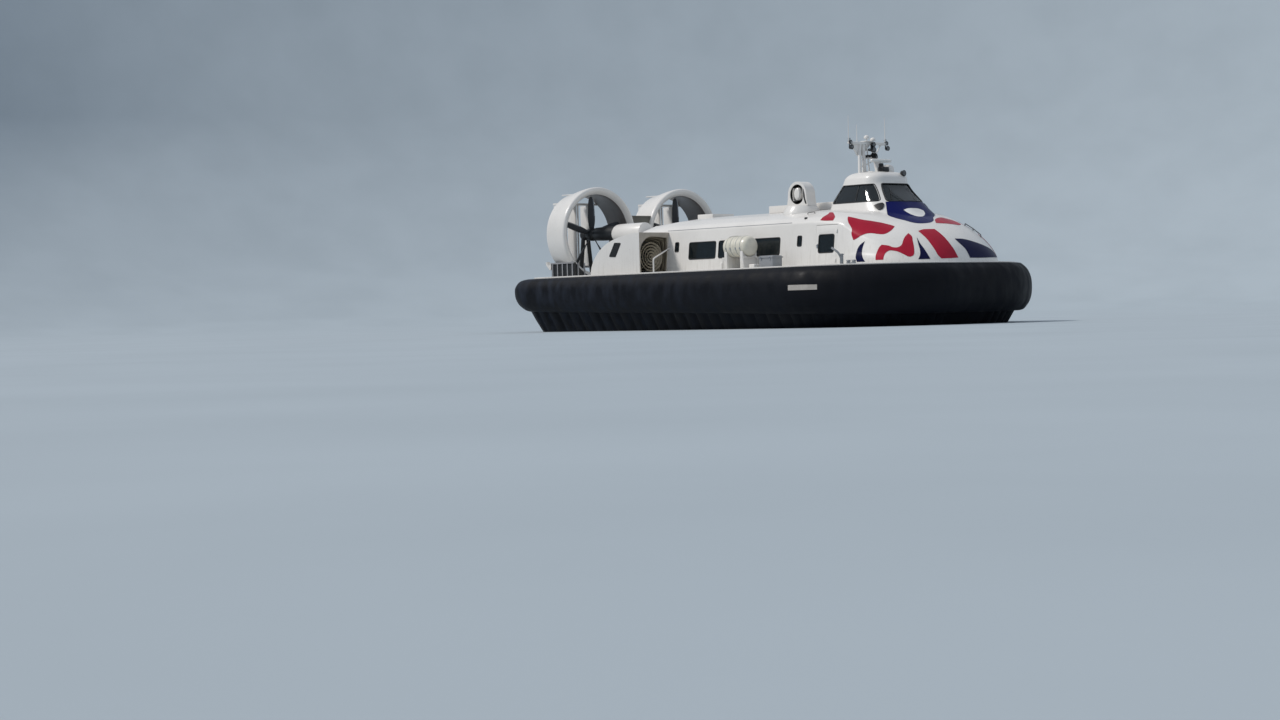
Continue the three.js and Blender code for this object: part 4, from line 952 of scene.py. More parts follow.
# Name, finish, whether port has its twin, and the starboard outline as points (x, y, z) on the skin
FILMS = (
    ("red_flash_roof", "crimson_film", True, (
        (6.2, -3.37, 4.37), (6.2, -3.19, 4.5), (6.16, -2.9, 4.62), (6.04, -2.66, 4.71), (6.29, -2.7, 4.68),
        (6.8, -3.12, 4.49), (6.92, -3.36, 4.33), (6.5, -3.39, 4.34),
    )),
    ("red_flash_side", "crimson_film", True, (
        (7.42, -3.0, 4.47), (7.72, -2.91, 4.4), (8.03, -2.78, 4.31), (8.35, -2.6, 4.25), (8.7, -2.39, 4.16),
        (9.04, -2.24, 4.06), (9.22, -2.19, 4.0), (9.3, -2.42, 3.87), (9.29, -2.64, 3.75), (9.2, -2.83, 3.68),
        (9.0, -2.97, 3.7), (8.8, -3.08, 3.74), (8.62, -3.19, 3.73), (8.46, -3.3, 3.66), (8.27, -3.4, 3.55),
        (8.11, -3.44, 3.49), (8.0, -3.42, 3.72), (7.95, -3.35, 3.95), (7.67, -3.26, 4.23),
    )),
    ("navy_sliver_side", "navy_film", True, (
        (8.65, -3.34, 3.42), (8.59, -3.4, 3.2), (8.58, -3.45, 2.98), (8.68, -3.51, 2.76),
        (8.8, -3.51, 2.6), (8.42, -3.58, 2.6), (8.34, -3.56, 2.76), (8.33, -3.54, 2.88),
        (8.34, -3.47, 3.08), (8.45, -3.42, 3.28),
    )),
    ("red_curl", "crimson_film", True, (
        (9.26, -3.39, 2.65), (9.23, -3.32, 2.87), (9.28, -3.2, 3.13), (9.37, -3.13, 3.25),
        (9.61, -3.0, 3.21), (9.78, -2.93, 3.14), (9.93, -2.8, 3.13), (10.0, -2.65, 3.22),
        (9.94, -2.49, 3.4), (9.88, -2.31, 3.55), (9.85, -2.08, 3.7), (10.02, -2.07, 3.57),
        (10.19, -2.2, 3.37), (10.37, -2.33, 3.09), (10.47, -2.45, 2.84), (10.44, -2.57, 2.75),
        (10.34, -2.66, 2.75), (10.21, -2.75, 2.84), (10.01, -2.86, 2.95), (9.86, -2.95, 3.0),
        (9.7, -3.04, 3.01), (9.58, -3.13, 2.92), (9.56, -3.22, 2.78), (9.57, -3.27, 2.65),
    )),
    ("navy_sliver_bow", "navy_film", False, (
        (10.16, -1.93, 3.52), (10.39, -2.0, 3.27), (10.61, -2.0, 3.04), (10.81, -1.98, 2.77),
        (10.89, -1.95, 2.63), (10.66, -2.41, 2.63), (10.64, -2.28, 2.79), (10.55, -2.18, 3.0),
        (10.37, -2.08, 3.25),
    )),
    ("red_bar_bow", "crimson_film", False, (
        (9.97, -1.62, 3.79), (9.98, -1.27, 3.86), (10.11, -0.8, 3.87), (10.3, -0.77, 3.72),
        (10.54, -0.74, 3.53), (10.81, -0.71, 3.26), (11.02, -0.63, 2.93), (11.12, -0.56, 2.67),
        (11.09, -1.03, 2.65), (11.02, -1.46, 2.64), (10.95, -1.57, 2.78), (10.82, -1.6, 2.99),
        (10.63, -1.61, 3.22), (10.36, -1.6, 3.48),
    )),
    ("red_bar_top", "crimson_film", False, (
        (9.32, 0.14, 4.31), (9.0, 0.72, 4.4), (8.78, 1.3, 4.4), (8.9, 1.66, 4.28), (9.35, 1.62, 4.1),
        (9.62, 1.2, 4.06), (9.71, 0.8, 4.08), (9.73, 0.31, 4.11), (9.69, -0.25, 4.13),
    )),
    ("navy_field_bow", "navy_film", False, (
        (10.68, -0.25, 3.45), (10.7, 0.23, 3.44), (10.73, 0.73, 3.35), (10.72, 1.34, 3.2), (10.61, 2.01, 3.0),
        (10.57, 2.3, 2.84), (10.55, 2.45, 2.68), (11.1, 0.95, 2.66), (11.14, 0.12, 2.66), (11.1, 0.1, 2.77),
        (11.0, 0.03, 3.0), (10.87, -0.13, 3.22), (10.76, -0.22, 3.36),
    )),
    ("blue_fairing", "royal_blue_film", False, (
        (7.741, -1.12, 5.075), (7.89, -1.24, 4.86), (8.12, -1.46, 4.67), (8.37, -1.64, 4.5),
        (8.73, -1.58, 4.37), (9.06, -1.43, 4.27), (9.36, -1.3, 4.17), (9.58, -1.03, 4.12),
        (9.64, -0.55, 4.16), (9.45, -0.1, 4.26), (9.1, 0.28, 4.41), (8.78, 0.74, 4.53), (8.5, 1.1, 4.66),
        (8.15, 1.3, 4.83), (7.9, 1.25, 4.95), (7.741, 1.12, 5.075), (7.964, 0.8, 5.075),
        (8.081, 0.4, 5.075), (8.09, 0.0, 5.075), (8.081, -0.4, 5.075), (7.964, -0.8, 5.075),
    )),
    ("white_streak", "white_film", False, (
        (8.41, -0.77, 4.71), (8.42, -0.46, 4.77), (8.46, 0.0, 4.77), (8.57, 0.24, 4.68), (8.79, 0.1, 4.54),
        (8.99, -0.36, 4.44), (8.8, -0.6, 4.49), (8.58, -0.73, 4.59),
    )),
)
FILM_CENTRE = Vector((7.3, 0.0, 2.25))  # the point inside that bearings are taken from
FILM_PITCH = 0.02  # radians between the points of a film, about 6 cm on the skin
FILM_LIFT = 0.008  # off the skin
FILM_CORNER = math.radians(48)  # a film's edge is cut sharp where it turns by more than this


# Dark pod on the cheek of the wheelhouse, and a pale strip on the bag that is a painted highlight
CHEEK_POD = (
    (7.42, -1.47, 4.92), (7.53, -1.37, 5.0), (7.68, -1.25, 5.04), (7.77, -1.24, 4.99), (7.81, -1.31, 4.87),
    (7.8, -1.41, 4.79), (7.7, -1.48, 4.75), (7.55, -1.5, 4.83),
)
BAG_GLINT = (
    (7.28, -6.36, 1.73), (7.95, -6.23, 1.73), (8.58, -6.03, 1.72), (8.58, -6.04, 1.52), (7.94, -6.24, 1.52),
    (7.28, -6.36, 1.52),
)


def skins(*names):
    """Named skins as one tree for rays."""
    points, faces = [], []
    for name in names:
        mesh = bpy.data.objects[name].data
        faces.extend([i + len(points) for i in p.vertices] for p in mesh.polygons)
        points.extend(v.co.copy() for v in mesh.vertices)
    return BVHTree.FromPolygons(points, faces)


def crisp_curve(points, cuts):
    """A smooth closed curve that keeps its corners."""
    count = len(points)
    corners = []
    for i in range(count):
        before, spot, after = (Vector(points[(i + k) % count]) for k in (-1, 0, 1))
        if (spot - before).angle(after - spot) > FILM_CORNER:
            corners.append(i)
    if not corners:
        return smooth_curve(points, cuts)
    made = []
    for start, end in zip(corners, corners[1:] + [corners[0] + count]):
        made += smooth_curve([points[i % count] for i in range(start, end + 1)], cuts, closed=False)[:-1]
    return made


def is_inside(spot, outline):
    inside = False
    for a, b in zip(outline, outline[1:] + outline[:1]):
        if (a.y > spot.y) != (b.y > spot.y) and spot.x < a.x + (spot.y - a.y) / (b.y - a.y) * (b.x - a.x):
            inside = not inside
    return inside


def film(name, outline, tree, lift, side=-1, thick=None):
    """A thin film that fills a starboard outline, or its port twin, on the skin by bearings from inside."""
    polar = []
    for x, y, z in outline:
        arm = Vector((x, -side * y, z)) - FILM_CENTRE
        polar.append((math.atan2(arm.y, arm.x), math.atan2(arm.z, math.hypot(arm.x, arm.y))))
    edge = [Vector(p) for p in crisp_curve(polar, 6)]
    across, up = (stations(min(values), max(values), FILM_PITCH) for values in zip(*edge))
    inside = []
    for spot in (Vector((u, v)) for u in across for v in up):
        if is_inside(spot, edge) and min((spot - p).length for p in edge) > FILM_PITCH / 2:
            inside.append(spot)
    made = geometry.delaunay_2d_cdt(edge + inside, [], [list(range(len(edge)))], 1, 1e-7)
    points = []
    for bearing, rise in made[0]:
        level = math.cos(rise)
        away = Vector((level * math.cos(bearing), level * math.sin(bearing), math.sin(rise)))
        place, normal, _, _ = tree.ray_cast(FILM_CENTRE + away * 9, -away)
        points.append(place + normal * (lift if normal.dot(away) > 0 else -lift))
    return thickened(Shape().add(points, made[2]).loose(name), thick or sizes().film_thickness, 0)


# Ducts, propellers and thrusters


DUCT_Y, DUCT_Z, PROP_X = 2.6, 4.45, -9.5
# Section of the duct from the rear of the bore round the lip: x, radius
DUCT_SECTION = (
    (-10.42, 1.81), (-9.9, 1.79), (-9.5, 1.78), (-9.15, 1.81), (-8.99, 1.89), (-8.9, 2.0),
    (-8.88, 2.08), (-8.93, 2.15), (-9.06, 2.165), (-9.5, 2.11), (-9.9, 2.03), (-10.42, 1.94),
)
# where the bore's painted shade begins
BORE_SHADE_FORE = -9.1  # the grey paint of the bore ends here
# Still tunnel round the turning shaft: x, radius
SHAFT_TUNNEL = ((-9.14, 0.2), (-9.14, 0.27), (-9.1, 0.3), (-8.6, 0.32), (-7.62, 0.32), (-7.62, 0.2))
# Panel between the ducts: half width, height
WEB_PANEL = ((0.43, 3.96), (0.437, 4.45), (0.475, 4.9), (0.54, 5.1), (0.617, 5.32))
WEB_RIBS = ((4.3, 0.42), (4.75, 0.42), (5.27, 0.58))  # height, half width
# Propeller hub and shaft: x, radius
HUB = (
    (-9.7, 0), (-9.7, 0.2), (-9.69, 0.26), (-9.66, 0.28), (-9.42, 0.3), (-9.38, 0.297), (-9.28, 0.25),
    (-9.22, 0.185), (-9.2, 0.17), (-7.7903, 0.17), (-7.7903, 0),
)
# Blade: radius, chord, thickness, pitch angle
BLADE_TABLE = ((0.25, 0.23, 0.06, 62), (0.7, 0.33, 0.04, 45), (1.3, 0.3, 0.026, 31), (1.75, 0.2, 0.012, 24))
# Aerofoil: place along the chord from the trailing edge, height in thicknesses
AEROFOIL = (
    (-0.5, 0.02), (-0.3, 0.24), (-0.05, 0.46), (0.2, 0.56), (0.38, 0.46), (0.47, 0.26), (0.5, 0.0),
    (0.47, -0.2), (0.38, -0.34), (0.2, -0.42), (-0.05, -0.36), (-0.3, -0.16),
)
BLADE_RADII = stations(0.25, 1.7, 0.075) + [1.72, 1.735, 1.745, 1.75]
SHEATH_FROM, SHEATH_AHEAD = 0.85, 0.36  # radius, and place along the chord
TIP_FROM, TIP_LENGTH = 1.6, 0.15  # the blade rounds off to its tip


def duct(y):
    """The duct (finish 0) with its bore (1) in dark grey, painted shade inside the duct, and the fin on its
    top.
    """
    profile = smooth_curve(DUCT_SECTION, 5, closed=False)
    # the bore behind its front takes the dark grey, painted shade inside the duct
    bore = [int(x < BORE_SHADE_FORE and i < len(profile) // 2) for i, (x, _) in enumerate(profile)]
    shape = Shape().ring(profile, (0, y, DUCT_Z), sides=144, finishes=bore)
    return shape.block((-11.35, y - 0.26, 6.33), (-10.1, y + 0.26, 6.385), 0.02)


def propeller(y):
    """Blades (0), hub and shaft (1), and a nickel sheath on each leading edge (2)."""
    shape = Shape().turned(HUB, (0, 0, 0), finish=1)
    count = sizes().blade_count
    aerofoil = smooth_curve(AEROFOIL, 2)
    rings = []
    for radius in BLADE_RADII:
        chord, thick, pitch = read_smooth(BLADE_TABLE, radius)
        tip = min(1.0, max(0.0, (radius - TIP_FROM) / TIP_LENGTH))
        chord *= math.sqrt(max(0.08, 1 - tip**2 * 0.9))
        across, along = math.cos(math.radians(pitch)), math.sin(math.radians(pitch))
        rings.append([
            (
                PROP_X + u * chord * along + v * thick * across,
                u * chord * across - v * thick * along,
                radius,
            )
            for u, v in aerofoil
        ])
    for number in range(count):
        start, first = len(shape.points), len(shape.faces)
        shape.loft(rings)
        for n in range(first, len(shape.faces)):
            row, i = divmod(n - first, len(aerofoil))
            if row < len(rings) - 1 and BLADE_RADII[row] > SHEATH_FROM and aerofoil[i][0] > SHEATH_AHEAD:
                shape.finish[n] = 2
        shape.moved(Matrix.Rotation(TURN * number / count, 4, "X"), start)
    return shape.moved(Matrix.Translation((0, y, DUCT_Z)))


THRUSTER_X, THRUSTER_Y, THRUSTER_Z = 3.55, 1.8, 5.12
# Nozzle: half width, half depth, height of its centre, radius and depth of the mouth
NOZZLE_HALF, FACE, NOZZLE_HUB, MOUTH, BORE = 0.54, 0.27, 5.6, 0.42, 0.38
# Side of the nozzle under its round top: half width, height
NOZZLE_FOOT = ((0.63, THRUSTER_Z), (NOZZLE_HALF + 0.045, 5.26), (NOZZLE_HALF + 0.015, THRUSTER_Z + 0.3))
# Black linings in the mouth, which stand for the shade deep inside it (painted shade), and the plug in the
# mouth: distance from the face, radius
BACK_SHADE_LINING = ((-0.34, 0), (-0.34, MOUTH - 0.006), (-0.37, MOUTH - 0.006), (-0.37, 0))
WALL_SHADE_LINING = (
    (-0.34, MOUTH - 0.002), (-0.03, MOUTH - 0.002), (-0.03, MOUTH - 0.012), (-0.34, MOUTH - 0.012),
)
PLUG = ((-0.3, 0), (-0.3, 0.15), (-0.12, 0.19), (-0.03, 0.175), (0.0, 0.15), (0.01, 0.1), (0.01, 0))
# Dark slot beside the mouth, a painted shadow of the gap beside the nozzle: x, height
SHADE_SLOT = ((0.37, 5.83), (0.45, 5.62), (0.48, 5.42), (0.56, 5.2), (0.5, 5.18), (0.42, 5.34), (0.4, 5.6))


def thruster_shell():
    """The port nozzle as a closed arch, and what its round mouth takes out of it."""
    turns = [TURN / 2 * k / 40 for k in range(41)]
    arch = [(NOZZLE_HALF * math.cos(t), NOZZLE_HUB + NOZZLE_HALF * math.sin(t)) for t in turns]
    outline = [*NOZZLE_FOOT, *arch, *((-u, v) for u, v in reversed(NOZZLE_FOOT))]
    back, front = FACE - BORE, FACE + 0.1
    bore = [(back, 0), (back, MOUTH), (front, MOUTH), (front, 0)]
    shell = Shape().plate(outline, "Y", -FACE, FACE, 0.05)
    return shell, Shape().turned(bore, (0, 0, NOZZLE_HUB), "Y", 72)


def thruster_insides():
    """Black lining and slot (0), painted shade in the mouth and beside it, and white turning vanes and plug
    (1) of the port nozzle.
    """
    mouth = (0, FACE, NOZZLE_HUB)
    shape = Shape().turned(BACK_SHADE_LINING, mouth, "Y", 72).ring(WALL_SHADE_LINING, mouth, "Y")
    start = len(shape.points)
    shape.turned(PLUG, (0, FACE, 0), "Y", 48, 1)
    shape.moved(Matrix.Translation((-0.02, 0, NOZZLE_HUB + 0.02)) @ Matrix.Diagonal((1, 1, 1.45, 1)), start)
    for turn in (-1, 1):
        shares = stations(-0.9, 0.9, 0.225)
        vane = [(turn * (0.245 + 0.05 * math.cos(t * 1.5)), NOZZLE_HUB + 0.3 * t) for t in shares]
        back = [(u + turn * 0.02, v) for u, v in reversed(vane)]
        shape.plate(vane + back, "Y", FACE - 0.3, FACE - 0.05, finish=1)
    return shape.plate(smooth_curve(SHADE_SLOT, 5), "Y", FACE - 0.004, FACE + 0.004)


# Side bodies and lift fan intakes, drawn to port


# Top and aft edge of a side body, and the hollow inside it: x, z
SIDE_PROFILE = (
    (-3.1, 4.27), (-4.0, 4.19), (-4.7, 4.06), (-5.3, 3.87), (-5.8, 3.59), (-6.18, 3.23), (-6.4, 2.88),
    (-6.49, 2.55),
)
SIDE_CAVITY = (
    (-6.38, 2.2), (-3.71, 2.2), (-3.71, 4.13), (-4.0, 4.11), (-4.7, 3.98), (-5.3, 3.78), (-5.76, 3.5),
    (-6.12, 3.16), (-6.32, 2.84),
)
SIDE_FORE, SIDE_AFT, SIDE_OUT, SIDE_WALL = -3.1, -6.5, 5.2, 0.06
INTAKE_X, INTAKE_Y, INTAKE_Z, INTAKE_RADIUS = -3.65, 4.43, 3.21, 0.74
RECESS_TOP, RECESS_CORNER = 4.14, 0.7
GUARD_RINGS = (0.12, 0.24, 0.36, 0.48, 0.6, 0.72)
MOUTH_RIBS = 6
MOUTH_SIDES = 144
RIM_ACROSS, RIM_DEEP = 0.24, 0.16  # shares of the way in to the round mouth and of the depth
# Ring grille in front of the recess: radius of each slat's front edge, its place and its section
SLAT_RINGS = (0.12, 0.25, 0.38, 0.51, 0.64)
SLAT_X, SLAT_DEEP, SLAT_WIDE, SLAT_THICK = -3.2, 0.05, 0.075, 0.008


def recess_outline(grow=0.0):
    """The recess in front of the intake as (y, z), with its round upper corner."""
    out, top, corner = SIDE_OUT - SIDE_WALL + grow, RECESS_TOP + grow, RECESS_CORNER + grow
    points = [(skin_y(SIDE_FORE, 2.46) + 0.004 - grow, 2.46 - grow), (out, 2.46 - grow)]
    for angle in stations(0, TURN / 4, TURN / 48):
        points.append((out - corner * (1 - math.cos(angle)), top - corner * (1 - math.sin(angle))))
    return [*points, (skin_y(SIDE_FORE, RECESS_TOP) + 0.004 - grow, top)]


def side_shell(name, side):
    """A side body with its hollow, its recess and the round hole of the intake."""
    aft = smooth_curve(SIDE_PROFILE, 6, closed=False)
    outline = [(SIDE_AFT, MAIN_DECK + SEAT), (SIDE_FORE, MAIN_DECK + SEAT), *aft]
    recess = recess_outline()
    recess = [(3.0, 2.0), (recess[1][0], 2.0), *recess[2:-1], (3.0, RECESS_TOP)]
    hole = [(-3.9, 0), (-3.9, INTAKE_RADIUS), (-3.5, INTAKE_RADIUS), (-3.5, 0)]
    cutters = (
        Shape().plate(SIDE_CAVITY, "Y", 3.71, 5.14),
        Shape().plate(recess, "X", INTAKE_X, -3.0),
        Shape().turned(hole, (0, INTAKE_Y, INTAKE_Z), sides=72),
        Shape().loft([body_ring(x, -SEAT, 2.0) for x in (CABIN_AFT, -2.6)]),
    )
    shell = Shape().plate(outline, "Y", 3.3, SIDE_OUT, 0.06).on(side).loose(name)
    carved(shell, *(cutter.on(side).loose("hollow") for cutter in cutters))
    return carved(shell, loose_object("casing_volume", NODES["engine_casing"].data.copy()))


def intake_mouth():
    """The stepped mouth that narrows from the recess to the round intake: pale rim (0), and ribs (1, 2) in
    brown and dark brown by turns, grime and painted shade of the recess.
    """
    outline = recess_outline(0.002)
    centre = Vector((INTAKE_Y, INTAKE_Z))
    angles = (TURN * k / MOUTH_SIDES for k in range(MOUTH_SIDES))
    turns = [Vector((math.cos(angle), math.sin(angle))) for angle in angles]
    reaches = []
    for turn in turns:
        sides = zip(outline, outline[1:] + outline[:1])
        hits = (geometry.intersect_line_line_2d(centre, centre + 5 * turn, a, b) for a, b in sides)
        hit = next((hit for hit in hits if hit), None)
        reaches.append((hit - centre).length if hit else reaches[-1])
    front, back = SIDE_FORE - 0.015, INTAKE_X + 0.002
    bands = [(0.0, 0.0), (RIM_ACROSS, 0.03), (RIM_ACROSS, RIM_DEEP)]
    for k in range(MOUTH_RIBS):
        for across, deep in ((k + 0.8, k + 0.12), (k + 1, k + 1)):
            across, deep = across / MOUTH_RIBS, deep / MOUTH_RIBS
            bands.append((RIM_ACROSS + (1 - RIM_ACROSS) * across, RIM_DEEP + (1 - RIM_DEEP) * deep))
    rings = []
    for share, deep in bands:
        spots = (centre + turn * (r * (1 - share) + INTAKE_RADIUS * share) for turn, r in zip(turns, reaches))
        rings.append([(front + (back - front) * deep, *spot) for spot in spots])
    shape = Shape()
    for row, pair in enumerate(zip(rings, rings[1:])):
        # dark brown on every other rib is painted shade
        shape.loft(pair, caps=False, finish=0 if row < 1 else 1 + (row // 2) % 2)
    return shape


def spokes(shape, hub, count, first, reach, radius, sides):
    """Round arms from a hub, from one radius to another."""
    for k in range(count):
        arm = Vector((0, math.cos(first + TURN * k / count), math.sin(first + TURN * k / count)))
        shape.tube([hub + arm * reach[0], hub + arm * reach[1]], radius, sides)
    return shape


def intake_slats():
    """Cowled ring slats on four arms, which give the nested arcs seen in the mouth."""
    at = Vector((SLAT_X, INTAKE_Y, INTAKE_Z))
    shape = Shape()
    for radius in SLAT_RINGS:
        back = radius - SLAT_WIDE
        profile = [(0, radius), (-SLAT_DEEP, back), (-SLAT_DEEP - SLAT_THICK, back), (-SLAT_THICK, radius)]
        shape.ring(profile, at)
    return spokes(shape, at - Vector((SLAT_DEEP + 0.016, 0, 0)), 4, TURN / 8, (0.06, 0.7), 0.014, 8)


def intake_guard(side):
    """Wire rings on eight arms over the round intake."""
    centre = Vector((INTAKE_X - 0.014, side * INTAKE_Y, INTAKE_Z))
    shape = Shape()
    for radius in GUARD_RINGS:
        path = [turn[0] for turn in spun([(0, radius)], centre, "X", 64)]
        shape.tube(path, 0.011, 6, closed=True)
    return spokes(shape, centre, 8, TURN / 16, (0.1, 0.755), 0.012, 6)


# Small gear


# Lamp: can and glass as (along, radius) in radii
CAN = ((-1.1, 0), (-1.1, 0.5), (-0.7, 0.9), (0.2, 1.0), (0.35, 1.08), (0.45, 1.0), (0.35, 0.9), (0.35, 0))
LAMP_GLASS = ((0.3, 0), (0.3, 0.9), (0.42, 0.7), (0.48, 0.3), (0.5, 0))
# Lantern: base, clear drum and cap as (up, radius) in radii
LANTERN = (
    (((0, 0), (0, 1), (0.5, 1), (0.5, 0)), 0),
    (((0.5, 0), (0.5, 0.85), (0.9, 0.92), (1.6, 0.92), (2.0, 0.85), (2.0, 0)), 1),
    (((2.0, 0), (2.0, 1.05), (2.3, 0.95), (2.5, 0.5), (2.55, 0)), 0),
)


class Gear(Shape):
    """A shape with lamps: their cans take finish 0 and their glass finish 1."""

    def lamp(self, at, radius):
        """A round lamp that shines forward: a can with a rim and a glass in front."""
        for profile, finish in ((CAN, 0), (LAMP_GLASS, 1)):
            self.turned([(a * radius, b * radius) for a, b in profile], at, "X", 20, finish)
        return self

    def lantern(self, at, radius):
        """A navigation lantern: base, clear drum and cap."""
        for profile, finish in LANTERN:
            self.turned([(a * radius, b * radius) for a, b in profile], at, "Z", 20, finish)
        return self


DOME = smooth_curve([(0, 0), (0, 0.1), (0.03, 0.115), (0.1, 0.1), (0.14, 0.05), (0.15, 0)], 4, closed=False)
RADOME = smooth_curve(
    [(6.37, 0), (6.37, 0.26), (6.42, 0.3), (6.55, 0.305), (6.66, 0.25), (6.72, 0.13), (6.735, 0)],
    5,
    closed=False,
)
GUSSET = rounded_outline([(-0.96, 7.62), (0.2, 7.62), (-0.28, 7.12), (-0.6, 7.12)], 0.04)
MAST_FRAMEWORK = (
    # crossbar and its gusset
    ("block", (5.63, -1.06, 7.59), (5.77, 1.14, 7.71), 0.025),
    ("plate", GUSSET, "X", 5.66, 5.71, 0.008),
    # legs and braces
    ("tube", ((5.92, -0.7, 6.36), (5.9, -0.68, 6.5), (5.72, -0.48, 7.4), (5.7, -0.44, 7.62)), 0.072, 14),
    ("tube", ((5.92, 0.38, 6.36), (5.92, 0.38, 6.95)), 0.085, 16),
    ("tube", ((5.92, 0.38, 6.9), (5.88, 0.38, 7.1), (5.72, 0.34, 7.62)), 0.05, 12),
    ("tube", ((5.92, -0.12, 6.38), (5.72, -0.05, 7.6)), 0.03, 10),
    ("tube", ((5.86, -0.65, 6.62), (5.84, 0.38, 6.95)), 0.022, 8),
    ("tube", ((5.86, -0.58, 6.95), (5.84, 0.37, 7.1)), 0.022, 8),
    ("tube", ((5.88, -0.42, 6.44), (6.3, -0.3, 6.42)), 0.025, 10),
    ("tube", ((5.88, 0.42, 6.44), (6.3, 0.3, 6.42)), 0.025, 10),
    ("tube", ((5.74, 0.3, 6.95), (5.68, 0.85, 7.62)), 0.03, 10),
    # shelf with two domes, and the dome on the roof
    ("block", (5.5, -0.2, 7.71), (5.86, 0.24, 7.75), 0.015),
    ("tube", ((5.68, 0.0, 7.72), (5.68, 0.0, 7.86)), 0.03, 12),
    ("tube", ((5.68, 0.38, 7.68), (5.68, 0.38, 7.76)), 0.03, 10),
    ("turned", DOME, (5.68, 0.38, 7.76), "Z", 24),
    ("turned", DOME, (5.68, 0.0, 7.85), "Z", 24),
    ("turned", RADOME, (6.3, 0.55, 0), "Z", 40),
)
HORN = (
    (-0.2, 0), (-0.2, 0.035), (0.02, 0.035), (0.14, 0.05), (0.2, 0.1), (0.21, 0.1), (0.15, 0.04), (0, 0),
)
BAR_ENDS = (-1.04, 1.14)
MAST_LAMPS = (
    *(("lantern", (5.68, y, 7.7), 0.06) for y in BAR_ENDS),
    *(("lamp", (5.74, y, 7.68), 0.085) for y in BAR_ENDS),
    *(("lamp", (5.76, y + 0.04, 7.47), 0.1) for y in BAR_ENDS),
    *(("tube", ((5.68, y, 7.6), (5.68, y, 7.5)), 0.02, 8) for y in BAR_ENDS),
    ("lamp", (5.84, 0.24, 7.6), 0.1),
    ("lamp", (5.9, 0.18, 7.38), 0.11),
    ("lamp", (5.88, -0.04, 7.37), 0.06),
    ("lamp", (5.92, 0.24, 7.1), 0.115),
    *(("turned", HORN, (5.92, y, 7.12), "X", 20) for y in (-0.12, 0.03)),
    # brackets of the lamps and horns, and the radar's turning gear
    ("block", (5.72, -0.22, 7.04), (5.82, 0.36, 7.1), 0.01),
    ("block", (5.76, 0.14, 7.3), (5.82, 0.24, 7.62), 0.01),
    ("block", (6.5, -0.22, 6.402), (6.78, 0.18, 6.6), 0.03),
)
SEARCHLIGHT = (("lamp", (7.16, 0.62, 6.32), 0.12), ("tube", ((7.1, 0.62, 6.12), (7.1, 0.62, 6.25)), 0.04, 12))
# Radar: half of its arm as (place, share of its full section), and the boss under it as (height, radius)
RADAR_ARM = ((0.53, 1.0), (0.57, 0.85), (0.592, 0.6), (0.6, 0.3))
RADAR_AT, RADAR_SECTION = (6.48, 6.872), (0.078, 0.076)
RADAR_BOSS = ((6.758, 0), (6.758, 0.07), (6.79, 0.075), (6.83, 0.06), (6.83, 0))


def radar_scanner():
    rings = []
    for y, swell in [*((-y, swell) for y, swell in reversed(RADAR_ARM)), *RADAR_ARM]:
        turns = [TURN * k / 24 for k in range(24)]
        wide, tall = (swell * half for half in RADAR_SECTION)
        rings.append([(RADAR_AT[0] + wide * math.cos(t), y, RADAR_AT[1] + tall * math.sin(t)) for t in turns])
    return Shape().loft(rings).turned(RADAR_BOSS, (RADAR_AT[0], 0, 0), "Z", 32)


# Deck gear, drawn to port but for the canister


RAFT_Y, RAFT_Z, RAFT_AFT, RAFT_FORE = 4.45, 3.44, 1.77, 3.27
# End of a canister: distance in from its tip, radius
RAFT_END = (
    (0.0, 0.0), (0.002, 0.14), (0.015, 0.25), (0.05, 0.335), (0.11, 0.39), (0.2, 0.425), (0.32, 0.437),
)
RAFT_BANDS = (2.1, 2.36, 2.68, 2.94)
# Profiles about their place along the canister: hoop, middle joint and webbing band
HOOP = ((-0.05, 0.43), (-0.04, 0.443), (0.04, 0.443), (0.05, 0.43))
MIDDLE_JOINT = ((-0.015, 0.43), (-0.015, 0.449), (0.015, 0.449), (0.015, 0.43))
RAFT_JOINTS = ((2.22, HOOP), (2.82, HOOP), (2.52, MIDDLE_JOINT))
BAND = ((-0.022, 0.4368), (-0.02, 0.4405), (0.02, 0.4405), (0.022, 0.4368))


def canister(side):
    """Liferaft canister: two gelcoat halves with a joint flange (0), webbing (1) and its buckles (2)."""
    y = side * RAFT_Y
    ends = [(RAFT_AFT + x, r) for x, r in RAFT_END] + [(RAFT_FORE - x, r) for x, r in reversed(RAFT_END)]
    shape = Shape().turned(ends, (0, y, RAFT_Z), sides=72)
    for x, profile in RAFT_JOINTS:
        shape.ring(profile, (x, y, RAFT_Z))
    for edge in (y - 0.432, y + 0.432):
        shape.block((2.0, edge - 0.012, RAFT_Z - 0.012), (3.04, edge + 0.014, RAFT_Z + 0.012), 0.005)
    inner, outer = y + side * 0.425, y + side * 0.447
    for x in RAFT_BANDS:
        shape.ring(BAND, (x, y, RAFT_Z), finishes=(1,))
        shape.block((x - 0.03, inner, RAFT_Z - 0.13), (x + 0.03, outer, RAFT_Z - 0.05), 0.006, 2)
    line = []
    for k in range(15):
        angle = math.radians(65 + 5 * k)
        line.append((2.08 + 0.045 * k, y + side * 0.452 * math.cos(angle), RAFT_Z + 0.448 * math.sin(angle)))
    return shape.tube(line, 0.012, 8, finish=1)


RACK_TOP = 2.98
# Small vent beside the rack: height, radius
DECK_VENT = ((FORE_DECK, 0), (FORE_DECK, 0.09), (2.75, 0.09), (2.8, 0.06), (2.8, 0))
RAFT_RACK = (
    # two hoops and the stubs that join them to the saddles
    *(
        ("rail", ((x, 4.82, FORE_DECK), (x, 4.9, RACK_TOP), (x, 4.06, RACK_TOP), (x, 4.1, FORE_DECK)), 0.025)
        for x in (1.9, 3.14)
    ),
    *(("tube", ((1.9, y, RACK_TOP), (1.97, y, 2.96)), 0.02, 8) for y in (4.06, 4.9)),
    *(("tube", ((3.07, y, 2.96), (3.14, y, RACK_TOP)), 0.02, 8) for y in (4.06, 4.9)),
    # low box and vent beside the rack
    ("block", (3.34, 4.3, FORE_DECK), (3.66, 4.75, 2.68), 0.03),
    ("turned", DECK_VENT, (1.64, 4.7, 0), "Z", 20),
)
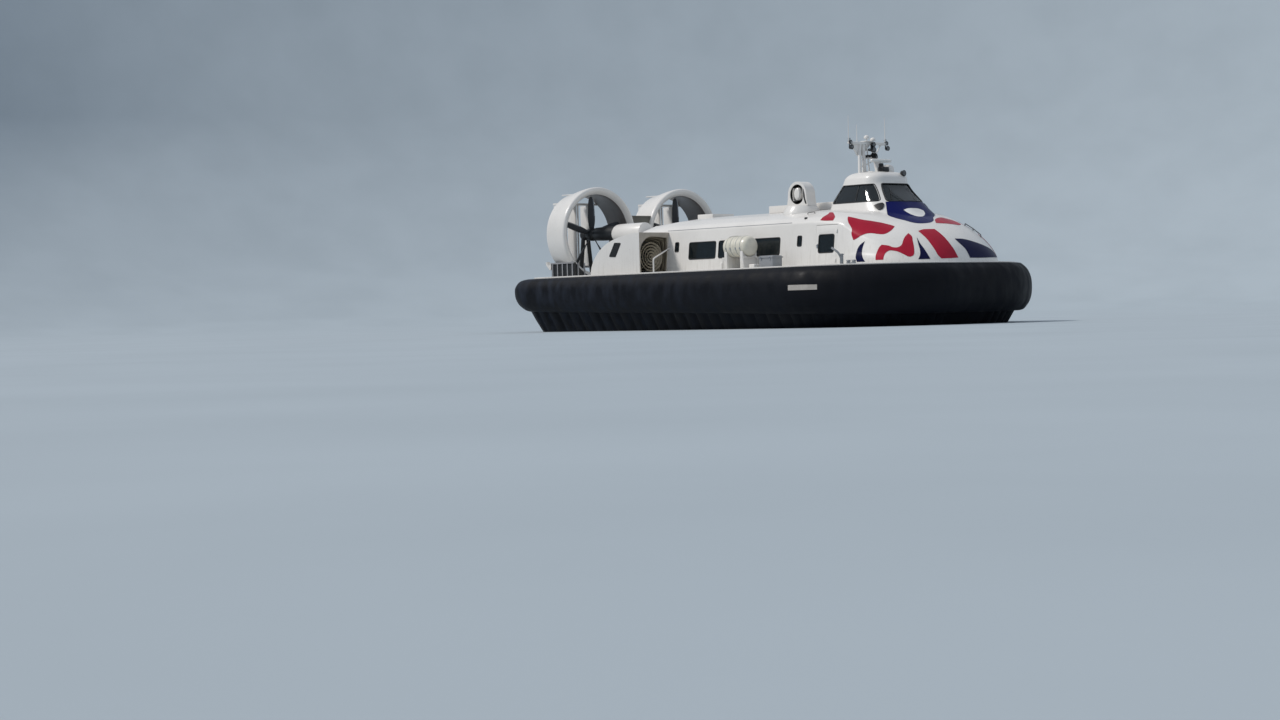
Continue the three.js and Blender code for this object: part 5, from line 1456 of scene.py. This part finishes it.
# Lid of the locker (0), its two latches and its two hinges (1)
LOCKER_LID = (
    ("block", (3.905, 4.155, 2.9), (4.775, 4.765, 2.95), 0.012),
    *(("block", (x - 0.03, 4.738, 2.82), (x + 0.03, 4.775, 2.965), 0.008, 1) for x in (4.08, 4.6)),
    *(("block", (x - 0.05, 4.145, 2.88), (x + 0.05, 4.19, 3.012), 0.008, 1) for x in (4.08, 4.6)),
)
FOOT = FORE_DECK + SEAT
# Mooring post and bollards: height, radius
POST = (
    (FOOT, 0), (FOOT, 0.16), (FOOT + 0.02, 0.16), (FOOT + 0.02, 0.075), (2.88, 0.07), (2.9, 0.1), (2.93, 0.1),
    (2.95, 0.06), (2.95, 0),
)
BOLLARD = ((FOOT, 0), (FOOT, 0.09), (2.62, 0.07), (2.64, 0.09), (2.68, 0.08), (2.69, 0))
MOORING_POST = (
    ("turned", POST, (8.12, 4.15, 0), "Z", 28),
    ("tube", bent([(8.12, 4.15, 2.7), (8.02, 4.2, 2.98), (7.72, 4.3, 3.2)], 0.15), 0.045, 12),
    *(("turned", BOLLARD, (x, 4.1, 0), "Z", 24) for x in (8.45, 8.75)),
    ("tube", ((8.36, 4.1, 2.57), (8.84, 4.1, 2.57)), 0.035, 12),
)
# height of the grey beads along the roof crease, whose grey is painted shade
CREASE_SHADE_Z = 4.34
# Step bracket on the aft end of each plinth: x, z
STEP_BRACKET = (
    (-10.42, 3.14), (-10.42, 2.86), (-10.52, 2.84), (-10.76, 3.06), (-10.8, 3.2), (-10.74, 3.22),
    (-10.6, 3.06),
)
# Vent in the side body: its outline (x, z), and the heights of its louvres
VENT = rounded_outline([(-4.77, 3.87), (-4.34, 3.85), (-4.73, 3.26), (-5.16, 3.28)], 0.04)
LOUVRES = [3.34 + 0.09 * k for k in range(6)]


def plinth_bars():
    """Pale bars on the dark plinths: low in front of the duct's middle, tall beside it, and a rail on top."""
    shape = Shape()
    for y in stations(DUCT_Y - 1.5, DUCT_Y + 1.5, 0.375):
        top = 3.12 if abs(y - DUCT_Y) > 0.8 else 2.62
        shape.block((-8.745, y - 0.03, 2.28), (-8.7, y + 0.03, top), 0.008)
    for x in (-10.3, -9.94, -9.58, -9.22, -8.86):
        shape.block((x - 0.03, 4.305, 2.28), (x + 0.03, 4.345, 3.12), 0.008)
    return shape.block((-10.42, 4.3, 3.1), (-8.75, 4.35, 3.17), 0.01).both()


def side_vents():
    """Dark vent (0) with a rubber edge (1) and louvres on each side body."""
    shape = Shape().plate(VENT, "Y", SIDE_OUT - 0.01, SIDE_OUT + 0.006)
    shape.tube([(x, SIDE_OUT + 0.004, z) for x, z in VENT], 0.014, 8, closed=True, finish=1)
    for z in LOUVRES:
        x = -4.75 + (z - 3.57) * 0.67
        shape.block((x - 0.19, SIDE_OUT + 0.002, z), (x + 0.19, SIDE_OUT + 0.014, z + 0.02), 0.004)
    return shape.both()


def coaming():
    """The low coaming round the deck, which holds the inner edge of the bag."""
    steps = (12, 60, 48, 4, 40)
    rings = []
    for far, near in zip(plan_outline(RAFT_PLAN, steps, -0.004), plan_outline(RAFT_PLAN, steps, -0.04)):
        top = 2.49 + 0.03 * fore_share(far.x)
        low, soft = MAIN_DECK + SEAT, top - 0.014
        rings.append([(*far, low), (*far, soft), (*((far + near) / 2), top), (*near, soft), (*near, low)])
    return Shape().loft(rings, closed=True)


LIFTING_POINT = ((-0.02, 0), (-0.02, 0.07), (0.03, 0.07), (0.05, 0.05), (0.055, 0))


def skin_handles():
    """Lifting points on the roof of each side, and the grab rail on the nose."""
    tree = skins("cabin_skin", "nose_skin")

    def roof(x, y):
        return tree.ray_cast(Vector((x, y, 6)), Vector((0, 0, -1)))[0]

    shape = Shape().turned(LIFTING_POINT, roof(5.25, 3.25), "Z", 20)
    ends, up = [roof(4.89, 2.78), roof(5.23, 2.71)], Vector((0, 0, 0.07))
    shape.rail([ends[0], ends[0] + up, ends[1] + up, ends[1]], 0.014).both()
    feet, up = [roof(x, 2.0) for x in (9.27, 9.7, 10.12)], Vector((0, 0, 0.1))
    shape.rail([feet[0], *(foot + up for foot in feet), feet[2]], 0.02)
    return shape.tube([feet[1], feet[1] + up], 0.016, 8)


# Operators


# The studio floor, which rises far off: height, radius
FLOOR = ((0, 0.01), (0, 30), (0, 105), (1, 112), (6, 125), (22, 145), (60, 160))
# Camera: bearing from the starboard beam to the bow, trim of the craft, distance and height of the eye
AZIMUTH, TRIM, DISTANCE, EYE_HEIGHT = math.radians(46), math.radians(2.2), 100.0, 3.6
# In pixels: focal length, column of the craft's middle, row of the horizon, width and height
FOCAL, MIDDLE, HORIZON, WIDTH, TALL = 2270, 777, 245, 1280, 720


class HOVER_OT_stage(bpy.types.Operator):
    """Pale floor that rises far off, soft key light, sky fill and the camera of the photograph"""

    bl_idname = "hover.stage"
    bl_label = "Stage and Camera"

    def execute(self, context):
        scene = bpy.context.scene
        floor = Shape().loft(list(zip(*spun(FLOOR, (0, 0, 0), "Z", 96))), caps=False).loose("floor")
        material, tree, shader, place = new_finish("studio_floor", Roughness=0.9)
        mottled(tree, shader, place, (rgba("AEB9C1"), rgba("A9B4BC")), 6.0)
        floor.data.materials.append(material)
        floor.data.polygons.foreach_set("use_smooth", [True] * len(floor.data.polygons))
        world = bpy.data.worlds.new("studio")
        world.use_nodes = True
        sky = world.node_tree.nodes["Background"].inputs
        sky["Color"].default_value, sky["Strength"].default_value = (0.8, 0.88, 1.0, 1), 0.5
        scene.world = world
        key = bpy.data.objects.new("key", bpy.data.lights.new("key", "SUN"))
        key.data.energy, key.data.angle, key.data.color = 2.1, math.radians(9), (1.0, 0.96, 0.91)
        key.rotation_mode = "QUATERNION"
        key.rotation_quaternion = Vector((-0.5, -0.74, 0.95)).to_track_quat("Z", "Y")
        scene.collection.objects.link(key)
        camera = bpy.data.objects.new("camera", bpy.data.cameras.new("camera"))
        scene.collection.objects.link(camera)
        scene.camera = camera
        self.aim(camera)
        scene.view_settings.view_transform = "Standard"
        return {"FINISHED"}

    def aim(self, camera):
        """The photograph's view: from 46 degrees on the starboard bow, the craft trimmed up by the bow."""
        eye = Vector((math.sin(AZIMUTH) * DISTANCE, -math.cos(AZIMUTH) * DISTANCE, EYE_HEIGHT))
        yaw = math.atan2(-eye.y, -eye.x) + math.atan((MIDDLE - WIDTH / 2) / FOCAL)
        pitch = -math.atan((TALL / 2 - HORIZON) / FOCAL)
        ahead = Vector((math.cos(yaw) * math.cos(pitch), math.sin(yaw) * math.cos(pitch), math.sin(pitch)))
        right = Vector((math.sin(yaw), -math.cos(yaw), 0))
        up = right.cross(ahead)
        level = Matrix.Rotation(TRIM, 3, "Y")
        axes = Matrix((level @ right, level @ up, -(level @ ahead))).transposed()
        camera.matrix_world = Matrix.Translation(level @ eye) @ axes.to_4x4()
        camera.data.sensor_width = 36
        camera.data.lens = FOCAL / WIDTH * 36
        camera.data.clip_start, camera.data.clip_end = 1, 1000


class HOVER_OT_skirt(bpy.types.Operator):
    """Inflated skirt bag and the ring of fingers under it"""

    bl_idname = "hover.skirt"
    bl_label = "Skirt"

    def execute(self, context):
        cloth = "coated_skirt_fabric"
        bag().piece("skirt_bag_cloth", cloth, replaces=["skirt_bag"], slot="skirt_rubber")
        fingers().piece("skirt_finger_ring", cloth, sharp=60, replaces=["skirt_fingers"], slot="skirt_rubber")
        return {"FINISHED"}


class HOVER_OT_hull(bpy.types.Operator):
    """Raft of the hull and the fore deck, plated"""

    bl_idname = "hover.hull"
    bl_label = "Raft and Decks"

    def execute(self, context):
        finish_nodes("raft fore_deck", "gritted_deck_paint")
        return {"FINISHED"}


class HOVER_OT_cabin(bpy.types.Operator):
    """Cabin and nose skins with their openings, and the doors"""

    bl_idname = "hover.cabin"
    bl_label = "Cabin"

    def execute(self, context):
        cabin = upper_body("cabin_skin", CABIN_STATIONS, CABIN_INNER)
        low_x, high_x, low_z, high_z = DOOR
        doorway = rectangle(
            low_x - DOOR_GAP, high_x + DOOR_GAP, low_z - DOOR_GAP, high_z + DOOR_RISE + DOOR_GAP
        )
        openings = [*(window_outline(opening, 0) for opening in WINDOWS), doorway]
        carved(cabin, *(side_cutter(outline, side) for _, side in SIDES for outline in openings))
        nose = upper_body("nose_skin", NOSE_STATIONS, NOSE_INNER)
        for skin, node in ((cabin, "cabin"), (nose, "nose")):
            dress(skin, "gloss_white_paint", sharp=28, replaces=[node])
        finish_nodes("door_starboard door_port", "gloss_white_paint", edge=0.006)
        return {"FINISHED"}


def window(shape, opening):
    """One flush pane (finish 0) with its rubber (finish 1), on the port wall."""
    outline = window_outline(opening, -0.004)
    shape.loft([on_wall(outline, inset) for inset in (0.01, 0.01 + sizes().pane_thickness)])
    return shape.tube(on_wall(window_outline(opening, 0.004), -0.002), sizes().gasket_radius, 8, True, 1)


# Grip of the door handle: out from the door, height
HANDLE_X, HANDLE_GRIP = 6.19, ((0.0, 3.25), (0.045, 3.25), (0.045, 3.37), (0.0, 3.37))


class HOVER_OT_windows(bpy.types.Operator):
    """Panes and rubber of the cabin and door windows, door handles"""

    bl_idname = "hover.windows"
    bl_label = "Cabin Windows"

    def execute(self, context):
        finishes = ["tinted_glass", "gasket_rubber"]
        door_y = skin_y(6.2, 3.28)
        for name, side in SIDES:
            panes = Shape()
            for opening in WINDOWS:
                window(panes, opening)
            glazing = {"replaces": [f"cabin_glazing_{name}"], "slot": "glazing"}
            panes.on(side).piece(f"cabin_panes_{name}", finishes, **glazing)
            pane = window(Shape(), DOOR_WINDOW).on(side)
            pane.piece(f"door_pane_{name}", finishes, f"door_{name}", slot="glazing")
            handle = Shape().block((6.15, door_y - 0.01, 3.22), (6.23, door_y + 0.012, 3.4), 0.008)
            handle.tube([(HANDLE_X, door_y + out, z) for out, z in HANDLE_GRIP], 0.011)
            handle.on(side).piece(f"door_handle_{name}", "stainless_tube", f"door_{name}")
        return {"FINISHED"}


def dense(outline, pitch):
    """A closed outline with points no further apart than a pitch."""
    made = []
    for a, b in zip(outline, outline[1:] + outline[:1]):
        a, b = Vector(a), Vector(b)
        count = max(1, math.ceil((b - a).length / pitch))
        made += [a.lerp(b, k / count) for k in range(count)]
    return made


def laid_on(tree, spot, axis, way):
    """A point (x, z) or (y, z) laid on a skin from the side or from an end."""
    u, v = spot
    start, along = ((u, way * 3, v), (0, -way, 0)) if axis == "Y" else ((6.5 + way * 5, u, v), (-way, 0, 0))
    return tree.ray_cast(Vector(start), Vector(along))[0]


# What the lights take out of the wheelhouse, and the rubber round each: the way it faces and its radius
LIGHT_CUTS = ((SIDE_LIGHT, "Y", -2.0, 2.0), (WINDSCREEN, "X", 6.9, 9.0), (REAR_LIGHT, "X", 4.8, 5.9))
LIGHT_SEALS = (
    (SIDE_LIGHT, "Y", -1, 0.02),
    (SIDE_LIGHT, "Y", 1, 0.02),
    (WINDSCREEN, "X", 1, 0.026),
    (REAR_LIGHT, "X", -1, 0.026),
)


def wheelhouse_seals():
    """Rubber round each light, a mullion in the side lights and wipers on the windscreen."""
    shell, glass = skins("wheelhouse_shell"), skins("wheelhouse_glass")
    seals = Shape()
    for outline, axis, way, radius in LIGHT_SEALS:
        middle = sum((Vector(p) for p in outline), Vector((0, 0))) / len(outline)
        wide = [middle + (Vector(p) - middle) * 1.028 for p in outline]
        path = [laid_on(shell, p, axis, way) for p in dense(rounded_outline(wide, 0.08), 0.05)]
        seals.tube(path, radius, 8, closed=True)
    for side in (-1, 1):
        # mullion, then the blade and the arm of a wiper
        seals.tube([laid_on(glass, (6.36, 5.12 + 0.73 * k / 6), "Y", side) for k in range(7)], 0.028, 8)
        blade = [laid_on(glass, (side * (0.86 - 0.05 * k), 5.16 + 0.075 * k), "X", 1) for k in range(8)]
        seals.tube([p + Vector((0.03, 0, 0.012)) for p in blade], 0.01, 8)
        arm = [laid_on(glass, (side * 0.42, 5.1), "X", 1), blade[4]]
        seals.tube([p + Vector((0.05, 0, 0.02)) for p in arm], 0.012, 8)
    return seals


class HOVER_OT_wheelhouse(bpy.types.Operator):
    """Wheelhouse shell, its glass band and what stands inside"""

    bl_idname = "hover.wheelhouse"
    bl_label = "Wheelhouse"

    def execute(self, context):
        shell = wheelhouse_volume(WHEELHOUSE_FOOT, WHEELHOUSE_TOP, 0).loose("wheelhouse_shell")
        under = Shape().plate(UNDERSIDE, "Y", -2.5, 2.5).loose("under")
        inside = wheelhouse_volume(4.5, 6.34, WHEELHOUSE_WALL).loose("inside")
        lights = (Shape().plate(rounded_outline(light, 0.07), *run) for light, *run in LIGHT_CUTS)
        carved(shell, under, inside, *(light.loose("light") for light in lights))
        for face in shell.data.polygons:
            outward = (face.center - HEAD_ROOM).dot(face.normal)
            face.material_index = int(outward < -0.2 and face.center.z > 4.9)
        finishes = ["gloss_white_paint", "headliner_felt"]
        dress(shell, finishes, sharp=28, replaces=["wheelhouse"])
        pane = wheelhouse_volume(5.05, 5.92, 0.03).loose("wheelhouse_glass")
        carved(pane, wheelhouse_volume(5.0, 5.97, 0.038).loose("inside"))
        dress(pane, "tinted_glass", replaces=["wheelhouse_glazing"])
        wheelhouse_seals().piece("wheelhouse_seals", "gasket_rubber")
        finish_nodes("wheelhouse_fit_out", "black_moulding", edge=0.02)
        return {"FINISHED"}


class HOVER_OT_films(bpy.types.Operator):
    """Coloured films on the bow, the cheek pods and a pale strip on the bag that is a painted highlight"""

    bl_idname = "hover.films"
    bl_label = "Films on the Bow"

    def execute(self, context):
        tree, cloth = skins("cabin_skin", "nose_skin", "wheelhouse_shell"), skins("skirt_bag_cloth")
        for name, film_finish, both, outline in FILMS:
            lift = FILM_LIFT * (1.8 if film_finish == "white_film" else 1)
            dress(film(name, outline, tree, lift), film_finish, sharp=60)
            if both:
                dress(film(f"{name}_port", outline, tree, lift, 1), film_finish, sharp=60)
        for name, side in SIDES:
            pod = film(f"cheek_pod_{name}", CHEEK_POD, tree, 0.022, side, 0.045)
            dress(apply_modifiers(bevelled(pod, 0.012)), "black_moulding", sharp=50)
            # pale strip on the bag: painted highlight
            glint_strip = film(f"bag_tape_{name}", BAG_GLINT, cloth, 0.006, side, 0.003)
            dress(glint_strip, "retroreflective_tape", sharp=60)
        return {"FINISHED"}


SEAT_ROWS = [-2.5 + 0.86 * row for row in range(10)]
SEAT_PLACES = [0.66 + 0.54 * seat for seat in range(5)]  # inner edge of each seat to port
SEAT_WIDTH, SEAT_LEAN, HELM_LEAN = 0.5, -0.19, -0.132  # leans of the backs in radians
HELM_PLACES = (-0.56, 0.56)


def seat(shape, base, back, at, lean):
    """A base cushion, and a back cushion that leans about a place; both as their low and high corners."""
    shape.cushion(*base)
    start = len(shape.points)
    shape.cushion(*back)
    return shape.moved(Matrix.Translation(at) @ Matrix.Rotation(lean, 4, "Y"), start)


class HOVER_OT_seats(bpy.types.Operator):
    """Cushions and frames of the cabin seats, and the two seats at the helm"""

    bl_idname = "hover.seats"
    bl_label = "Seats"

    def execute(self, context):
        cushions, frames, helm = Shape(), Shape(), Shape()
        for x in SEAT_ROWS:
            for y in SEAT_PLACES:
                base = (x + 0.02, y, FORE_DECK + 0.3), (x + 0.46, y + SEAT_WIDTH, FORE_DECK + 0.43)
                back = (-0.06, y, 0.0), (0.05, y + SEAT_WIDTH, 0.68)
                seat(cushions, base, back, (x + 0.03, 0, FORE_DECK + 0.42), SEAT_LEAN)
            frames.block((x + 0.12, 0.66, FORE_DECK + 0.22), (x + 0.19, 3.3, FORE_DECK + 0.3), 0.01)
            for y in (0.95, 2.0, 3.05):
                frames.block((x + 0.13, y - 0.02, FORE_DECK), (x + 0.18, y + 0.02, FORE_DECK + 0.24), 0.008)
                frames.block((x + 0.02, y - 0.03, FORE_DECK), (x + 0.34, y + 0.03, FORE_DECK + 0.025), 0.006)
        for y in HELM_PLACES:
            base = (6.34, y - 0.24, 4.885), (6.78, y + 0.24, 4.975)
            seat(helm, base, ((0.0, y - 0.23, 0.03), (0.075, y + 0.23, 0.66)), (6.352, 0, 4.9), HELM_LEAN)
        cabin_seats = {"replaces": ["cabin_seats"], "slot": "seat_fabric"}
        cushions.both().piece("seat_cushions", "seat_moquette", **cabin_seats)
        frames.both().piece("seat_frames", "mill_aluminium")
        helm.piece("helm_cushions", "seat_moquette", slot="seat_fabric")
        return {"FINISHED"}


class HOVER_OT_machinery(bpy.types.Operator):
    """Casing, side bodies, intakes, ducts, propellers, pylons and rudders"""

    bl_idname = "hover.machinery"
    bl_label = "Ducts and Machinery"

    def execute(self, context):
        finish_nodes("engine_casing", "gloss_white_paint")
        finish_nodes("duct_bridge", "bridge_brown_paint")
        web = Shape().plate([*WEB_PANEL, *((-u, v) for u, v in reversed(WEB_PANEL))], "X", -9.02, -8.99)
        for z, half in WEB_RIBS:
            web.block((-8.995, -half, z - 0.02), (-8.965, half, z + 0.02), 0.006)
        web.piece("duct_web_panel", "bridge_brown_paint")
        for name, side in SIDES:
            self.lift_side(name, side)
            self.thrust_side(name, side * DUCT_Y)
        return {"FINISHED"}

    def lift_side(self, name, side):
        """A side body with its intake, and the fan and engine inside."""
        shell = side_shell(f"side_shell_{name}", side)
        for face in shell.data.polygons:
            face.material_index = int(face.normal.x > 0.95 and face.center.x > SIDE_FORE - 0.02)
        finishes = ["gloss_white_paint", "rim_beige_paint"]
        dress(shell, finishes, sharp=28, replaces=[f"side_body_{name}"])
        mouth = thickened(intake_mouth().on(side).loose(f"intake_mouth_{name}"), 0.006, -1)
        # the browns of the mouth and the brown of the guard are grime and painted shade of the recess
        dress(mouth, ["rim_beige_paint", "intake_brown_paint", "intake_dark_paint"], sharp=40)
        intake_guard(side).piece(f"intake_guard_{name}", "intake_brown_paint")
        intake_slats().on(side).piece(f"intake_slats_{name}", "slat_tan_paint", sharp=40)
        finish_nodes(f"lift_fan_{name}", "machinery_black_paint", edge=0.006)
        finish_nodes(f"engine_{name}", "engine_enamel", edge=0.03)

    def thrust_side(self, name, y):
        """A duct with its propeller, its supports and its rudders."""
        shroud = {"replaces": [f"duct_{name}"], "slot": "white_paint"}
        duct(y).piece(f"duct_shroud_{name}", ["gloss_white_paint", "bore_grey_paint"], **shroud)
        propeller(y).piece(
            f"propeller_blades_{name}",
            ["blade_composite", "machinery_black_paint", "nickel_sheath"],
            body=f"propeller_{name}",
            replaces=[f"propeller_{name}"],
            slot="blade_composite",
        )
        tunnel = Shape().ring(SHAFT_TUNNEL, (0, y, DUCT_Z), sides=48)
        tunnel.piece(f"shaft_tunnel_{name}", "machinery_black_paint")
        finish_nodes(f"propeller_pylon_{name} duct_plinth_{name}", "machinery_black_paint")
        finish_nodes(f"rudder_frame_{name}", "gloss_white_paint", edge=0.008)
        for place in ("outer", "middle", "inner"):
            finish_nodes(f"rudder_{place}_{name}", "gloss_white_paint", edge=0.004)


class HOVER_OT_roof(bpy.types.Operator):
    """Bow thrusters on their feet, the roof housing, the mast and the radar"""

    bl_idname = "hover.roof"
    bl_label = "Roof Gear"

    def execute(self, context):
        white = "gloss_white_paint"
        finish_nodes("roof_housing", white, edge=0.03)
        finish_nodes("mast", white, edge=0)
        finish_nodes("radar_pedestal", "black_moulding")
        radar = {"replaces": ["radar_scanner"], "slot": "white_paint"}
        radar_scanner().piece("radar_scanner_arm", "white_moulding", "radar_scanner", 50, **radar)
        place = Matrix.Translation((THRUSTER_X, THRUSTER_Y, 0))
        for name, side in SIDES:
            body = f"bow_thruster_{name}"
            finish_nodes(f"thruster_foot_{name}", white, edge=0.02)
            shell, bore = (shape.moved(place).on(side) for shape in thruster_shell())
            nozzle = carved(shell.loose(f"thruster_nozzle_{name}"), bore.loose("bore"))
            dress(nozzle, white, body, 30, [body])
            insides = thruster_insides().moved(place).on(side)
            insides.piece(f"thruster_vanes_{name}", ["black_moulding", white], body, slot="dark_plastic")
        return {"FINISHED"}


class HOVER_OT_mast_gear(bpy.types.Operator):
    """Crossbar, braces, lanterns, horns and lamps on the mast, dome and searchlight on the wheelhouse"""

    bl_idname = "hover.mast_gear"
    bl_label = "Mast Gear"

    def execute(self, context):
        Shape().build(MAST_FRAMEWORK).piece("mast_framework", "gloss_white_paint", sharp=50)
        lamps = ["black_moulding", "lamp_lens"]
        Gear().build(MAST_LAMPS).piece("mast_lamps", lamps, sharp=50)
        Gear().build(SEARCHLIGHT).piece("wheelhouse_searchlight", lamps, sharp=50)
        return {"FINISHED"}


class HOVER_OT_deck_gear(bpy.types.Operator):
    """Liferaft canisters with their bands and straps, their rack, the deck lockers and the mooring posts"""

    bl_idname = "hover.deck_gear"
    bl_label = "Deck Gear"

    def execute(self, context):
        for name, side in SIDES:
            canister(side).piece(
                f"liferaft_canister_{name}",
                ["canister_gelcoat", "canvas_webbing", "stainless_tube"],
                sharp=40,
                replaces=[f"liferaft_{name}"],
                slot="canister_plastic",
            )
            finish_nodes(f"liferaft_saddle_{name}", "gloss_white_paint", edge=0.01)
            finish_nodes(f"deck_locker_{name}", "locker_moulding", edge=0.04)
            for piece, rows, finishes in (
                ("liferaft_rack", RAFT_RACK, "gloss_white_paint"),
                ("locker_lid", LOCKER_LID, ["locker_moulding", "stainless_tube"]),
                ("mooring_post", MOORING_POST, "mill_aluminium"),
            ):
                Shape().build(rows).on(side).piece(f"{piece}_{name}", finishes, sharp=50)
        return {"FINISHED"}


class HOVER_OT_trim(bpy.types.Operator):
    """Boarding rails, grey beads along the roof crease whose grey is painted shade, deck edge, lifting
    points, plinth bars and vents
    """

    bl_idname = "hover.trim"
    bl_label = "Rails and Trim"

    def execute(self, context):
        white = "gloss_white_paint"
        path = [(-2.3, 5.1, MAIN_DECK), (-2.3, 5.1, 3.1), (-3.05, skin_y(-2.8, 3.52), 3.56)]
        Shape().rail(path, sizes().rail_radius).both().piece("boarding_rails", white)
        # grey beads along the roof crease: their grey is painted shade of the crease
        path = on_wall([(x, CREASE_SHADE_Z) for x in stations(-3.2, 4.6, 0.6)], -0.004)
        Shape().tube(path, 0.014, 8).both().piece("roof_gutters", "light_grey_paint")
        coaming().piece("deck_edge_coaming", white)
        skin_handles().piece("skin_handles", "machinery_black_paint", sharp=50)
        plinth_bars().piece("plinth_bars", "light_grey_paint")
        brackets = Shape().plate(STEP_BRACKET, "Y", 4.16, 4.34, 0.012)
        brackets.both().piece("plinth_step_brackets", white)
        side_vents().piece("side_vents", ["black_moulding", "gasket_rubber"])
        return {"FINISHED"}


class HOVER_PT_panel(bpy.types.Panel):
    """Lists the steps that build the hovercraft, in order."""

    bl_label = "Hovercraft"
    bl_idname = "HOVER_PT_panel"
    bl_space_type = "VIEW_3D"
    bl_region_type = "UI"
    bl_category = "Hovercraft"

    def draw(self, context):
        layout = self.layout
        for group in (context.scene.hover_sizes, context.scene.hover_colours):
            box = layout.box()
            for key in group.__annotations__:
                box.prop(group, key)
        for step in STEPS_IN_ORDER:
            layout.operator(step.bl_idname)


STEPS_IN_ORDER = (
    HOVER_OT_stage,
    HOVER_OT_skirt,
    HOVER_OT_hull,
    HOVER_OT_cabin,
    HOVER_OT_windows,
    HOVER_OT_wheelhouse,
    HOVER_OT_films,
    HOVER_OT_seats,
    HOVER_OT_machinery,
    HOVER_OT_roof,
    HOVER_OT_mast_gear,
    HOVER_OT_deck_gear,
    HOVER_OT_trim,
)
CLASSES = (HOVER_PG_sizes, HOVER_PG_colours, *STEPS_IN_ORDER, HOVER_PT_panel)


def register():
    for one in CLASSES:
        bpy.utils.register_class(one)
    bpy.types.Scene.hover_sizes = bpy.props.PointerProperty(type=HOVER_PG_sizes)
    bpy.types.Scene.hover_colours = bpy.props.PointerProperty(type=HOVER_PG_colours)


def unregister():
    del bpy.types.Scene.hover_colours
    del bpy.types.Scene.hover_sizes
    for one in reversed(CLASSES):
        bpy.utils.unregister_class(one)


def main():
    register()
    for step in STEPS_IN_ORDER:
        group, name = step.bl_idname.split(".")
        getattr(getattr(bpy.ops, group), name)()


if __name__ == "__main__":
    main()
